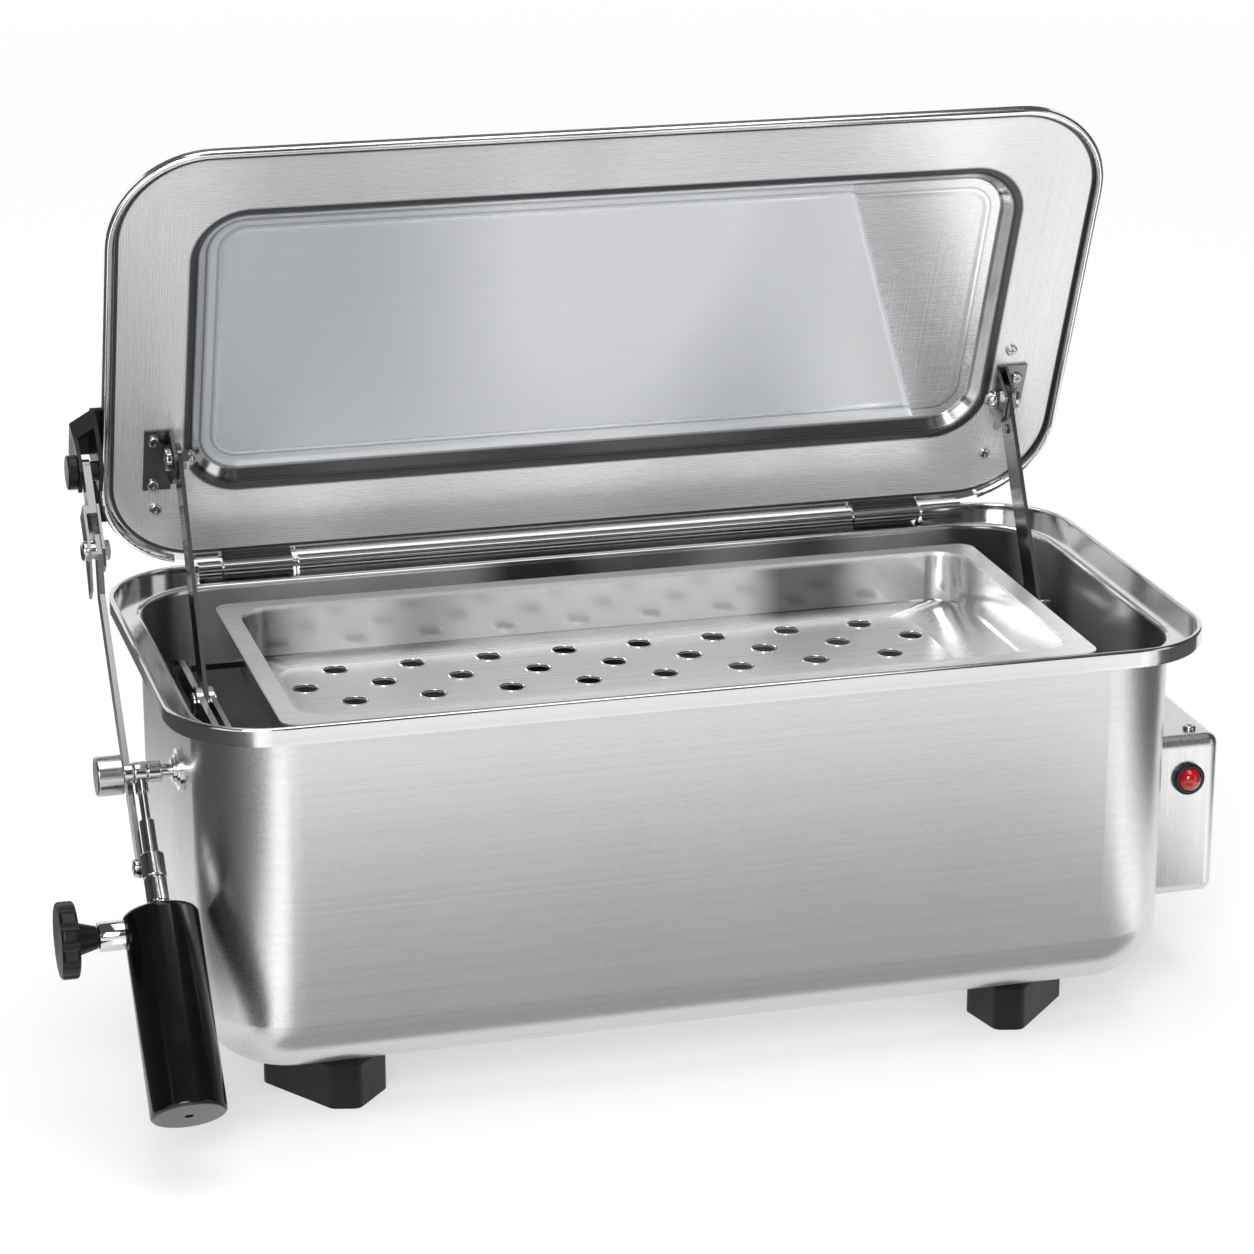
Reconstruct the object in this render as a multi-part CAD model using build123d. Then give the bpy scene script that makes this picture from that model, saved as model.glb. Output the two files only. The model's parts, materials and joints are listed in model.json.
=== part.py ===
"""Instrument sterilizer: a boiling tank with a hinged lid, a lifting tray and a sliding side stay.

Lengths are millimetres and +Z is up. The tank is drawn about its own centre with the bench at
zero height. At the end all pieces are shifted together, so that the bottom centre of the whole
is the origin.
"""
import math
import os

from build123d import *

# Tank
RIM_OVERHANG_END = 13.0
RIM_OVERHANG_SIDE = 12.0
RIM_CORNER = 45.0
RIM_HEIGHT = 195.0
FOOT_HEIGHT = 23.0
SHEET = 1.5
HEM_THICK = 2.6
LEDGE_DEPTH = 7.0
TANK_LENGTH = 454.0
TANK_WIDTH = 216.0
TANK_CORNER = 41.0
TANK_BOTTOM_RADIUS = 28.0
LEDGE_BEND = 3.0

# Lid and its hinge
HINGE_INSET = 6.7
HINGE_DROP = 1.5
BARREL_RADIUS = 3.7
HINGE_ROD_RADIUS = 2.0
ROD_FIT = 0.05
LID_OPEN = 69.1
LID_MARGIN_END = 1.5
LID_MARGIN_FRONT = 0.8
LID_CORNER = 48.0
LID_CENTER_X = -0.8
LID_HINGE_GAP = 2.0
LID_RISE = 3.85
LID_BEAD = 3.5
PANEL_MARGIN_END = 41.0
PANEL_CENTER_X = -1.0
PANEL_MARGIN_REAR = 43.0
PANEL_MARGIN_FRONT = 35.5
PANEL_CORNER = 25.0
PANEL_DEPTH = 8.0
PANEL_SLOPE = 48.0
STEP_DEPTH = 2.5
STEP_TOP_X = 116.0
STEP_TOP_V = 185.0
STEP_LOW_X = 161.0
STEP_LOW_V = 60.0

# Straps that lift the tray
STRAP_INSET = 22.5
STRAP_THICK = 2.0
STRAP_WIDTH = 15.0
STRAP_PIVOT_V = 69.3
STRAP_PIVOT_N = -10.85
CRADLE_PIN_Y = 28.8
CRADLE_PIN_DROP = 38.3
PIN_RADIUS = 3.0
EAR_THICK = 1.6
FACE_GAP = 0.3
RING_ALONG = 104.0

# Cradle and tray
CRADLE_BAR = 3.0
CRADLE_BAR_HEIGHT = 10.0
CHEEK_THICK = 2.4
RAIL_INSET = 24.4
RAIL_WIDTH = 5.0
RAIL_HEIGHT = 3.0
EYE_OVERHANG = 0.4
EYE_RADIUS = 7.5
TRAY_END_GAP = 15.0
TRAY_SIDE_GAP = 20.5
TRAY_SHEET = 1.0
TRAY_DROP = 11.0
TRAY_FLANGE = 8.0
TRAY_WALL = 25.0
TRAY_FLOOR_DROP = 6.0
TRAY_CORNER = 18.0
TRAY_STEP = 1.3
TRAY_SIDE_SLOPE = 1.3
TRAY_END_SLOPE = 21.0
TRAY_HOLE_RADIUS = 6.0
TRAY_HOLE_PITCH = 37.4
TRAY_ROW_PITCH = 22.8
TRAY_ROWS = 7
TRAY_PATTERN_X = -4.5
TRAY_PATTERN_Y = -0.5

# Stay on the left side
STUD_Y = -33.5
STUD_DROP = 46.5
KNUCKLE_V = 75.3
KNUCKLE_N = -23.4
STAY_OUT = 17.8
GUIDE_RADIUS = 2.0
GUIDE_FIT = 0.08
GUIDE_END = 153.0
COLLAR_RADIUS = 5.0
COLLAR_GAP = 0.2
SWIVEL_HALF = 3.0
STUD_RADIUS = 3.1
BAR_OFFSET = 10.1
BAR_WIDTH = 9.0
BAR_THICK = 2.5
BAR_OUT = 5.4
CHANNEL_OUT = 9.2
CHANNEL_SHEET = 1.2
CHANNEL_HEAD_OUT = (6.3, 2.9)
EYE_ALONG = 41.0
BOLT_ALONG = -110.4
CYLINDER_RADIUS = 16.8
CYLINDER_START = 66.5
CYLINDER_END = 160.0
CLAMP_ALONG = 75.0
CLAMP_FACE_OUT = 45.7
FORK_INNER_OUT = (-0.8, -2.8)
FORK_OUTER_OUT = (8.4, 6.6)
INNER_COLLAR_LENGTH = 6.1
OUTER_COLLAR_LENGTH = 4.3
LOCK_KNOB_LENGTH = 11.9

# Heater and control box
ELEMENT_RADIUS = 4.0
ELEMENT_HEIGHT = 60.0
ELEMENT_HALF_PITCH = 30.0
BOX_FRONT_Y = -48.0
BOX_REAR_Y = 48.0
BOX_DEPTH = 42.0
BOX_TOP = 122.5
BOX_BOTTOM = 42.0
BOX_RADIUS = 5.5
BOX_SHEET = 1.2
BOX_SCREW_OUT = 30.6
BOX_SCREW_INSET = 11.7
LAMP_OUT = 26.0
LAMP_Z = 102.0
GLAND_OUT = 20.0
GLAND_Z = 62.0

# Values that follow from the sizes above
WALL_X = TANK_LENGTH / 2
WALL_Y = TANK_WIDTH / 2
RIM_LENGTH = TANK_LENGTH + 2 * RIM_OVERHANG_END
RIM_WIDTH = TANK_WIDTH + 2 * RIM_OVERHANG_SIDE
HINGE_Y = RIM_WIDTH / 2 - HINGE_INSET
LID_REAR_Y = HINGE_Y - LID_HINGE_GAP
LID_LENGTH = RIM_LENGTH - 2 * LID_MARGIN_END
LID_WIDTH = LID_REAR_Y + RIM_WIDTH / 2 - LID_MARGIN_FRONT
PANEL_LENGTH = LID_LENGTH - 2 * PANEL_MARGIN_END
PANEL_WIDTH = LID_WIDTH - PANEL_MARGIN_REAR - PANEL_MARGIN_FRONT
PANEL_V = PANEL_MARGIN_REAR + PANEL_WIDTH / 2
STRAP_X = WALL_X - STRAP_INSET
RAIL_OUTER = WALL_Y - RAIL_INSET
EYE_Y = RAIL_OUTER + EYE_OVERHANG
TRAY_LENGTH = 2 * (STRAP_X - TRAY_END_GAP)
TRAY_WIDTH = TANK_WIDTH - 2 * TRAY_SIDE_GAP
STAY_X = -WALL_X - STAY_OUT
BAR_X = STAY_X - BAR_OUT
CHANNEL_X = STAY_X - CHANNEL_OUT
CHANNEL_HEAD = tuple(STAY_X - out for out in CHANNEL_HEAD_OUT)
CLAMP_FACE_X = STAY_X - CLAMP_FACE_OUT
FORK_INNER = tuple(STAY_X - out for out in FORK_INNER_OUT)
FORK_OUTER = tuple(STAY_X - out for out in FORK_OUTER_OUT)
BOX_END_X = WALL_X + BOX_DEPTH
BOX_SCREW_X = WALL_X + BOX_SCREW_OUT
LAMP_X = WALL_X + LAMP_OUT
GLAND_X = WALL_X + GLAND_OUT
LEDGE_Z = RIM_HEIGHT - LEDGE_DEPTH
HINGE_Z = RIM_HEIGHT - HINGE_DROP
LID_Z = RIM_HEIGHT + LID_RISE
LID_CENTER_Y = LID_REAR_Y - LID_WIDTH / 2
STUD_Z = RIM_HEIGHT - STUD_DROP
CRADLE_PIN_Z = RIM_HEIGHT - CRADLE_PIN_DROP
TRAY_Z = RIM_HEIGHT - TRAY_DROP
EAR_INNER = STRAP_X + STRAP_THICK / 2 + FACE_GAP
EAR_OUTER = EAR_INNER + EAR_THICK
SWIVEL = (STAY_X - SWIVEL_HALF, STAY_X + SWIVEL_HALF)
INNER_COLLAR = (SWIVEL[1] + COLLAR_GAP, SWIVEL[1] + COLLAR_GAP + INNER_COLLAR_LENGTH)
OUTER_COLLAR = (SWIVEL[0] - COLLAR_GAP - OUTER_COLLAR_LENGTH, SWIVEL[0] - COLLAR_GAP)
LOCK_KNOB = (OUTER_COLLAR[0] - COLLAR_GAP - LOCK_KNOB_LENGTH, OUTER_COLLAR[0] - COLLAR_GAP)
CHANNEL_END_X = BAR_X + BAR_THICK + CHANNEL_SHEET


def swing(y, z, degrees):
    """Point turned about the lid hinge."""
    a = math.radians(degrees)
    dy = y - HINGE_Y
    dz = z - HINGE_Z
    new_y = HINGE_Y + dy * math.cos(a) - dz * math.sin(a)
    new_z = HINGE_Z + dy * math.sin(a) + dz * math.cos(a)
    return new_y, new_z


# Linkage places, open and closed
STRAP_CLOSED = (LID_REAR_Y - STRAP_PIVOT_V, LID_Z + STRAP_PIVOT_N)
STRAP_OPEN = swing(STRAP_CLOSED[0], STRAP_CLOSED[1], -LID_OPEN)
STRAP_LEAN = math.atan2(STRAP_OPEN[0] - CRADLE_PIN_Y, STRAP_OPEN[1] - CRADLE_PIN_Z)
STRAP_LENGTH = math.hypot(STRAP_OPEN[0] - CRADLE_PIN_Y, STRAP_OPEN[1] - CRADLE_PIN_Z)
STRAP_LEAN_CLOSED = math.asin((STRAP_CLOSED[0] - CRADLE_PIN_Y) / STRAP_LENGTH)
CRADLE_PIN_Z_CLOSED = STRAP_CLOSED[1] - STRAP_LENGTH * math.cos(STRAP_LEAN_CLOSED)
CRADLE_LIFT = CRADLE_PIN_Z - CRADLE_PIN_Z_CLOSED
STRAP_TURN = math.degrees(STRAP_LEAN - STRAP_LEAN_CLOSED) - LID_OPEN
KNUCKLE_CLOSED = (LID_REAR_Y - KNUCKLE_V, LID_Z + KNUCKLE_N)
KNUCKLE_OPEN = swing(KNUCKLE_CLOSED[0], KNUCKLE_CLOSED[1], -LID_OPEN)
STAY_OPEN = math.hypot(KNUCKLE_OPEN[0] - STUD_Y, KNUCKLE_OPEN[1] - STUD_Z)
STAY_CLOSED = math.hypot(KNUCKLE_CLOSED[0] - STUD_Y, KNUCKLE_CLOSED[1] - STUD_Z)
STAY_TRAVEL = STAY_OPEN - STAY_CLOSED
STAY_DIR = ((STUD_Y - KNUCKLE_OPEN[0]) / STAY_OPEN, (STUD_Z - KNUCKLE_OPEN[1]) / STAY_OPEN)
STAY_ANGLE = math.degrees(math.atan2(-STAY_DIR[0], STAY_DIR[1]))
STAY_ANGLE_CLOSED = math.degrees(math.atan2(KNUCKLE_CLOSED[0] - STUD_Y, -(KNUCKLE_CLOSED[1] - STUD_Z)))
SWIVEL_TURN = STAY_ANGLE_CLOSED - STAY_ANGLE


def rounded_box(length, width, height, corner, bottom_z, center_x=0.0, center_y=0.0):
    """Block with rounded upright corners."""
    outline = RectangleRounded(length, width, corner)
    return Pos(center_x, center_y, bottom_z) * extrude(outline, height)


def block(x0, x1, y0, y1, z0, z1):
    """Plain block between opposite corners."""
    center = Pos((x0 + x1) / 2, (y0 + y1) / 2, (z0 + z1) / 2)
    return center * Box(abs(x1 - x0), abs(y1 - y0), abs(z1 - z0))


def round_x(radius, x0, x1, y, z):
    """Round bar along X."""
    return Pos((x0 + x1) / 2, y, z) * Rot(0, 90, 0) * Cylinder(radius, abs(x1 - x0))


def round_y(radius, y0, y1, x, z):
    """Round bar along Y."""
    return Pos(x, (y0 + y1) / 2, z) * Rot(90, 0, 0) * Cylinder(radius, abs(y1 - y0))


def round_z(radius, z0, z1, x, y):
    """Round bar along Z."""
    return Pos(x, y, (z0 + z1) / 2) * Cylinder(radius, abs(z1 - z0))


def hex_x(across, x0, x1, y, z):
    """Hexagon bar along X."""
    outline = RegularPolygon(across / math.sqrt(3), 6)
    low = min(x0, x1)
    return Pos(low, y, z) * extrude(Plane.YZ * outline, abs(x1 - x0))


def flat(points):
    """Outline from corner points, always facing up so that it extrudes upwards."""
    pairs = zip(points, points[1:] + points[:1])
    area = sum(a[0] * b[1] - b[0] * a[1] for a, b in pairs)
    ordered = points if area > 0 else points[::-1]
    return Polygon(*ordered, align=None)


def plate_yz(outline, x0, x1):
    """Sketch read as (y, z) and given thickness along X."""
    return Pos(min(x0, x1), 0, 0) * extrude(Plane.YZ * outline, abs(x1 - x0))


def open_lid(shape):
    """Lid pieces are drawn closed and swung open here."""
    turn = Rot(-LID_OPEN, 0, 0)
    return Pos(0, HINGE_Y, HINGE_Z) * turn * Pos(0, -HINGE_Y, -HINGE_Z) * shape


def on_stay(shape):
    """Stay pieces are drawn along +Z from the stud and laid on the stay line here."""
    return Pos(STAY_X, STUD_Y, STUD_Z) * Rot(STAY_ANGLE, 0, 0) * shape


def on_strap(shape, side):
    """Strap pieces are drawn hanging from their pivot and leaned here."""
    lean = math.degrees(STRAP_LEAN)
    return Pos(side * STRAP_X, STRAP_OPEN[0], STRAP_OPEN[1]) * Rot(-lean, 0, 0) * shape


def cross_recess(size, depth):
    """Cross slot, cut downwards from zero height."""
    bar = Box(size, size * 0.22, depth)
    return Pos(0, 0, -depth / 2) * (bar + Rot(0, 0, 90) * bar)


def pan_screw(head_radius, head_height, shank_radius, shank_length):
    """Screw with its head above zero height and its shank below."""
    head = Pos(0, 0, head_height / 2) * Cylinder(head_radius, head_height)
    head = fillet(head.edges().group_by(Axis.Z)[-1], head_height * 0.6)
    shank = Pos(0, 0, -shank_length / 2) * Cylinder(shank_radius, shank_length)
    body = head + shank
    return body - Pos(0, 0, head_height + 0.01) * cross_recess(head_radius * 1.1, head_height * 0.5)


def level_edges(shape, z, half_length, half_width, center_y=0.0):
    """Edges that lie flat at one height inside a rectangle about the middle."""
    found = []
    for edge in shape.edges():
        box = edge.bounding_box()
        level = abs(box.min.Z - z) < 0.01 and abs(box.max.Z - z) < 0.01
        along = max(abs(box.min.X), abs(box.max.X)) <= half_length + 0.1
        across = max(abs(box.min.Y - center_y), abs(box.max.Y - center_y)) <= half_width + 0.1
        if level and along and across:
            found.append(edge)
    return found


def lid_y(v):
    """Distance from the lid's rear edge turned into a closed place."""
    return LID_REAR_Y - v


# Tank
def make_tank_shell():
    wall_top = LEDGE_Z - SHEET
    body = rounded_box(TANK_LENGTH, TANK_WIDTH, wall_top - FOOT_HEIGHT, TANK_CORNER, FOOT_HEIGHT)
    body = fillet(body.edges().group_by(Axis.Z)[0], TANK_BOTTOM_RADIUS)
    ledge_length = RIM_LENGTH - 2.0
    ledge_width = RIM_WIDTH - 2.0
    ledge = rounded_box(ledge_length, ledge_width, SHEET, RIM_CORNER - 1.0, wall_top)
    shell = body + ledge
    corner_line = level_edges(shell, wall_top, WALL_X, TANK_WIDTH / 2)
    shell = fillet(corner_line, LEDGE_BEND - SHEET)
    hem = rounded_box(RIM_LENGTH, RIM_WIDTH, RIM_HEIGHT - LEDGE_Z, RIM_CORNER, LEDGE_Z)
    hem = hem - rounded_box(
        RIM_LENGTH - 2 * HEM_THICK, RIM_WIDTH - 2 * HEM_THICK, 20.0, RIM_CORNER - HEM_THICK, LEDGE_Z - 1
    )
    hem = fillet(hem.edges().group_by(Axis.Z)[-1], HEM_THICK / 2 - 0.1)
    shell = shell + hem
    floor_z = FOOT_HEIGHT + SHEET
    cavity = rounded_box(
        TANK_LENGTH - 2 * SHEET, TANK_WIDTH - 2 * SHEET, LEDGE_Z - floor_z, TANK_CORNER - SHEET, floor_z
    )
    cavity = fillet(cavity.edges().group_by(Axis.Z)[0], TANK_BOTTOM_RADIUS - SHEET)
    shell = shell - cavity
    lip = level_edges(shell, LEDGE_Z, WALL_X, TANK_WIDTH / 2)
    shell = fillet(lip, LEDGE_BEND - 0.05)
    shell = shell - round_x(STUD_RADIUS + 0.1, -WALL_X - 2, -WALL_X + 4, STUD_Y, STUD_Z)
    for side in (-1, 1):
        hole_y = side * ELEMENT_HALF_PITCH
        shell = shell - round_x(7.0, WALL_X - 4, WALL_X + 4, hole_y, ELEMENT_HEIGHT)
    return shell


LEFT_FOOT = [(-35, 21), (-7, -21), (5, -24), (22, -5), (13, 22)]
RIGHT_FOOT = [(-23, 4), (-17, -22), (-5, -25), (30, 11), (10, 25)]
LEFT_FOOT_CENTER = (-WALL_X + 62.0, -WALL_Y + 42.0)
RIGHT_FOOT_CENTER = (WALL_X - 65.0, -WALL_Y + 45.0)


def make_foot(corners, center):
    outline = fillet(flat(corners).vertices(), 5.0)
    foot = Pos(*center, 0) * extrude(outline, FOOT_HEIGHT)
    foot = chamfer(foot.edges().group_by(Axis.Z)[-1], 2.5)
    pocket = round_z(9.0, -1, 12.0, *center)
    return foot - pocket - round_z(3.2, 5, 30, *center)


def front_and_rear(left, right):
    """The two front pieces with their mirrored rear ones."""
    front = [left, right]
    return front + [mirror(s, Plane.XZ) for s in front]


def make_foot_stud(center):
    return round_z(3.0, 4.0, FOOT_HEIGHT, *center)


def make_foot_nut(center):
    nut = Pos(center[0], center[1], 7.0) * extrude(RegularPolygon(5.8, 6), 5.0)
    return nut - round_z(3.0, 0, 30, *center)


# Lid hinge
LEFT_END = (-192.0, -181.0)
LEFT_KNUCKLE = (-179.8, -146.4)
CENTER_TUBE = (-143.4, 136.3)
RIGHT_KNUCKLE = (137.2, 171.5)
RIGHT_END = (173.0, 194.0)


def make_fixed_barrel(span):
    x0, x1 = span
    barrel = round_x(BARREL_RADIUS, x0, x1, HINGE_Y, HINGE_Z)
    leaf = block(x0, x1, HINGE_Y - 4.3, HINGE_Y + 2.6, LEDGE_Z, HINGE_Z - BARREL_RADIUS + 0.8)
    return barrel + leaf - round_x(HINGE_ROD_RADIUS, x0 - 1, x1 + 1, HINGE_Y, HINGE_Z)


def make_knuckle(span):
    x0, x1 = span
    barrel = round_x(BARREL_RADIUS, x0, x1, HINGE_Y, HINGE_Z)
    web = block(x0, x1, LID_REAR_Y - 2.0, LID_REAR_Y, HINGE_Z, LID_Z)
    return open_lid(barrel + web - round_x(HINGE_ROD_RADIUS + ROD_FIT, x0 - 1, x1 + 1, HINGE_Y, HINGE_Z))


def make_hinge_rod():
    return round_x(HINGE_ROD_RADIUS, LEFT_END[0] + 1.0, RIGHT_END[1] - 1.0, HINGE_Y, HINGE_Z)


# Lid
def lid_screw_places():
    """Lid screws as x, distance from the rear edge, and the part they hold."""
    left = [(-STRAP_X - out, v) for out, v in ((9.8, 73.3), (9.8, 48.2), (8.0, 32.8))]
    right = [(STRAP_X + out, v) for out, v in ((8.1, 74.8), (8.8, 64.5), (3.3, 90.8), (-0.6, 28.5))]
    return left, right


def raised_panel(grow):
    """Domed part of the lid. A larger value gives the outer skin."""
    length = PANEL_LENGTH + 2 * grow
    width = PANEL_WIDTH + 2 * grow
    outline = RectangleRounded(length, width, PANEL_CORNER + grow)
    shape = extrude(outline, PANEL_DEPTH, taper=PANEL_SLOPE)
    return Pos(PANEL_CENTER_X, lid_y(PANEL_V), LID_Z) * shape


def panel_step(z0, z1):
    """Region right of the slanting step across the raised panel."""
    lean = (STEP_LOW_X - STEP_TOP_X) / (STEP_TOP_V - STEP_LOW_V)
    rear_x = STEP_LOW_X + lean * 40.0
    front_x = STEP_TOP_X - lean * 40.0
    region = flat([(rear_x, lid_y(STEP_LOW_V - 40.0)), (front_x, lid_y(STEP_TOP_V + 40.0)),
                   (LID_LENGTH / 2, lid_y(STEP_TOP_V + 40.0)), (LID_LENGTH / 2, lid_y(STEP_LOW_V - 40.0))])
    return Pos(0, 0, z0) * extrude(region, z1 - z0)


def make_lid_panel():
    top = rounded_box(LID_LENGTH, LID_WIDTH, SHEET, LID_CORNER, LID_Z, LID_CENTER_X, LID_CENTER_Y)
    bead = rounded_box(
        LID_LENGTH, LID_WIDTH, LID_BEAD, LID_CORNER, LID_Z - LID_BEAD, LID_CENTER_X, LID_CENTER_Y
    )
    inner = rounded_box(
        LID_LENGTH - 2 * LID_BEAD, LID_WIDTH - 2 * LID_BEAD, LID_BEAD + 2, LID_CORNER - LID_BEAD,
        LID_Z - LID_BEAD - 1, LID_CENTER_X, LID_CENTER_Y
    )
    plate = top + (bead - inner)
    plate = fillet(plate.edges().group_by(Axis.Z)[-1], SHEET - 0.1)
    plate = fillet(plate.edges().group_by(Axis.Z)[0], LID_BEAD / 2 - 0.15)
    rear_cut = block(-203, 203, LID_REAR_Y - 9, LID_REAR_Y + 5, LID_Z - LID_BEAD - 1, LID_Z)
    plate = plate - rear_cut
    dome = Pos(0, 0, SHEET) * raised_panel(SHEET * 0.6)
    dome = dome - panel_step(LID_Z + SHEET + PANEL_DEPTH - STEP_DEPTH, LID_Z + SHEET + PANEL_DEPTH + 5)
    hollow = raised_panel(0.0)
    hollow = hollow - panel_step(LID_Z + PANEL_DEPTH - STEP_DEPTH, LID_Z + PANEL_DEPTH + 5)
    hollow = fillet(hollow.edges().group_by(Axis.Z)[-1], 2.4)
    skin = plate + dome - hollow
    mouth = level_edges(skin, LID_Z, PANEL_LENGTH / 2 + 2, PANEL_WIDTH / 2, lid_y(PANEL_V))
    skin = fillet(mouth, 1.2)
    left, right = lid_screw_places()
    for x, v in left + right:
        skin = skin - round_z(1.65, LID_Z - 2, LID_Z + 4, x, lid_y(v))
    return open_lid(skin)


def bracket_plate(x0, x1, v0, v1, places):
    plate = block(x0, x1, lid_y(v1), lid_y(v0), LID_Z - SHEET, LID_Z)
    for x, v in places:
        if x0 < x < x1:
            plate = plate - round_z(1.65, LID_Z - 4, LID_Z + 4, x, lid_y(v))
    return plate


EAR_OUTLINE = [(79, 0), (79, -3), (75, -17), (63, -18), (57, -14), (52, -5), (52, 0)]
SIDE_EAR_OUTLINE = [(82, 0), (80, -6), (76, -15), (68, -18.5), (61, -16), (44, -3), (44, 0)]


def make_ear(points, x0, x1):
    """Upright ear that hangs from the lid, with its bore for the pivot bolt."""
    outline = flat([(lid_y(v), LID_Z + n) for v, n in points])
    ear = plate_yz(fillet(outline.vertices(), 1.4), x0, x1)
    return ear - round_x(PIN_RADIUS + 0.05, x0 - 5, x1 + 5, *STRAP_CLOSED)


def make_strap_bracket_left():
    left, right = lid_screw_places()
    plate = bracket_plate(-219.0, -EAR_INNER, 45.0, 79.0, left[:2])
    return open_lid(plate + make_ear(EAR_OUTLINE, -EAR_OUTER, -EAR_INNER))


def make_strap_bracket_right():
    """Bracket with an ear on each side of the strap."""
    left, right = lid_screw_places()
    far = STRAP_X - STRAP_THICK / 2 - FACE_GAP
    near = far - EAR_THICK
    corners = [(near, 82), (217.5, 82), (217.5, 60), (EAR_OUTER + 0.3, 44), (EAR_INNER, 44), (EAR_INNER, 56),
               (near, 56)]
    outline = flat([(x, lid_y(v)) for x, v in corners])
    plate = Pos(0, 0, LID_Z - SHEET) * extrude(outline, SHEET)
    for x, v in right[:2]:
        plate = plate - round_z(1.65, LID_Z - 4, LID_Z + 4, x, lid_y(v))
    inner_ear = make_ear([(82, 0)] + EAR_OUTLINE[1:5] + [(56, -5), (56, 0)], near, far)
    outer_ear = make_ear(SIDE_EAR_OUTLINE, EAR_INNER, EAR_OUTER)
    return open_lid(plate + inner_ear + outer_ear)


def make_backing_plate_right():
    left, right = lid_screw_places()
    plate = block(STRAP_X - 5.0, STRAP_X + 13.5, lid_y(97), lid_y(22), LID_Z + SHEET, LID_Z + 2 * SHEET)
    for x, v in right:
        plate = plate - round_z(1.65, LID_Z, LID_Z + 6, x, lid_y(v))
    return open_lid(plate)


def make_lid_screws():
    left, right = lid_screw_places()
    screws = []
    for x, v in left + right:
        on_plate = (x, v) in left[:2] + right[:2]
        seat = LID_Z - SHEET if on_plate else LID_Z
        screw = Rot(180, 0, 0) * pan_screw(2.9, 1.6, 1.6, LID_Z + 2 * SHEET - seat + 1.4)
        screws.append(open_lid(Pos(x, lid_y(v), seat) * screw))
    return screws


def strap_nut_seat(side):
    """Face that the domed nut sits on: the inner ear at the right, the strap at the left."""
    inner = STRAP_X - STRAP_THICK / 2 - FACE_GAP
    return inner - EAR_THICK if side > 0 else -inner


def make_strap_bolt(side):
    """Shoulder bolt through the ear and the strap, head on the wall side."""
    y, z = STRAP_OPEN
    face = EAR_OUTER + 3.5
    head = round_x(5.4, side * EAR_OUTER, side * face, y, z)
    head = fillet(head.edges(), 1.0)
    end = strap_nut_seat(side) - side * 3.6
    shank = round_x(PIN_RADIUS, end, side * (EAR_OUTER + 0.1), y, z)
    slot = block(side * (face - 0.8), side * (face + 1), y - 4, y + 4, z - 0.6, z + 0.6)
    slot = slot + block(side * (face - 0.8), side * (face + 1), y - 0.6, y + 0.6, z - 4, z + 4)
    return head + shank - slot


def make_strap_nut(side):
    """Domed nut on the inner end of the strap bolt."""
    y, z = STRAP_OPEN
    inner = strap_nut_seat(side)
    base = hex_x(9.0, inner, inner - side * 3.2, y, z)
    dome = Pos(inner - side * 3.2, y, z) * Sphere(4.3)
    keep = block(inner - side * 3.0, inner - side * 9.0, y - 6, y + 6, z - 6, z + 6)
    return base + (dome & keep) - round_x(PIN_RADIUS, inner - side * 3.7, inner + side * 5, y, z)


# Straps
def make_strap(side):
    half = STRAP_WIDTH / 2
    straight = flat([(-half, -STRAP_LENGTH), (half, -STRAP_LENGTH), (half, 0.0), (-half, 0.0)])
    outline = straight + Circle(half) + Pos(0, -STRAP_LENGTH) * Circle(half)
    outline = outline - Circle(PIN_RADIUS + 0.05)
    outline = outline - Pos(0, -STRAP_LENGTH) * Circle(PIN_RADIUS)
    strap = Pos(-STRAP_THICK / 2, 0, 0) * extrude(Plane.YZ * outline, STRAP_THICK)
    if side > 0:
        strap = strap - Pos(0, -half + 2.4, -RING_ALONG) * Rot(0, 90, 0) * Cylinder(1.3, 10)
        strap = strap - Pos(0, 1.0, -15.0) * Rot(0, 90, 0) * Cylinder(1.5, 10)
    return on_strap(strap, side)


def make_strap_pin(side):
    """The part of the lower pin that turns with the strap, flush on both faces."""
    shank = Rot(0, 90, 0) * Cylinder(PIN_RADIUS, STRAP_THICK)
    return on_strap(Pos(0, 0, -STRAP_LENGTH) * shank, side)


def make_strap_stop():
    """Small rivet in the right strap, below its pivot."""
    shank = Rot(0, 90, 0) * Cylinder(1.5, STRAP_THICK)
    head = Pos(-STRAP_THICK / 2 - 0.6, 0, 0) * Rot(0, 90, 0) * Cylinder(2.4, 1.2)
    head = fillet(head.edges(), 0.4)
    return on_strap(Pos(0, 1.0, -15.0) * (shank + head), 1)


def make_strap_ring():
    ring = Torus(4.2, 0.7)
    return on_strap(Pos(0, -STRAP_WIDTH / 2 - 1.8, -RING_ALONG) * ring, 1)


# Cradle and tray
CRADLE_INNER = STRAP_X + STRAP_THICK / 2 + FACE_GAP
CRADLE_OUTER = CRADLE_INNER + CRADLE_BAR
CHEEK_OUTER = STRAP_X - STRAP_THICK / 2 - FACE_GAP
CHEEK_INNER = CHEEK_OUTER - CHEEK_THICK
CRADLE_TOP = TRAY_Z - TRAY_WALL - TRAY_SHEET - FACE_GAP
CRADLE_MID = (CRADLE_INNER + CRADLE_OUTER) / 2


def bar_side(y_from, y_to):
    """Bar on edge with an eye where the strap pin crosses it."""
    half = CRADLE_BAR_HEIGHT / 2
    low = CRADLE_PIN_Z - half
    high = CRADLE_PIN_Z + half
    outline = flat([(y_from, low), (y_to, low), (y_to, high), (y_from, high)])
    outline = outline + Pos(CRADLE_PIN_Y, CRADLE_PIN_Z) * Circle(7.5)
    return outline - Pos(CRADLE_PIN_Y, CRADLE_PIN_Z) * Circle(PIN_RADIUS)


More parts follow.
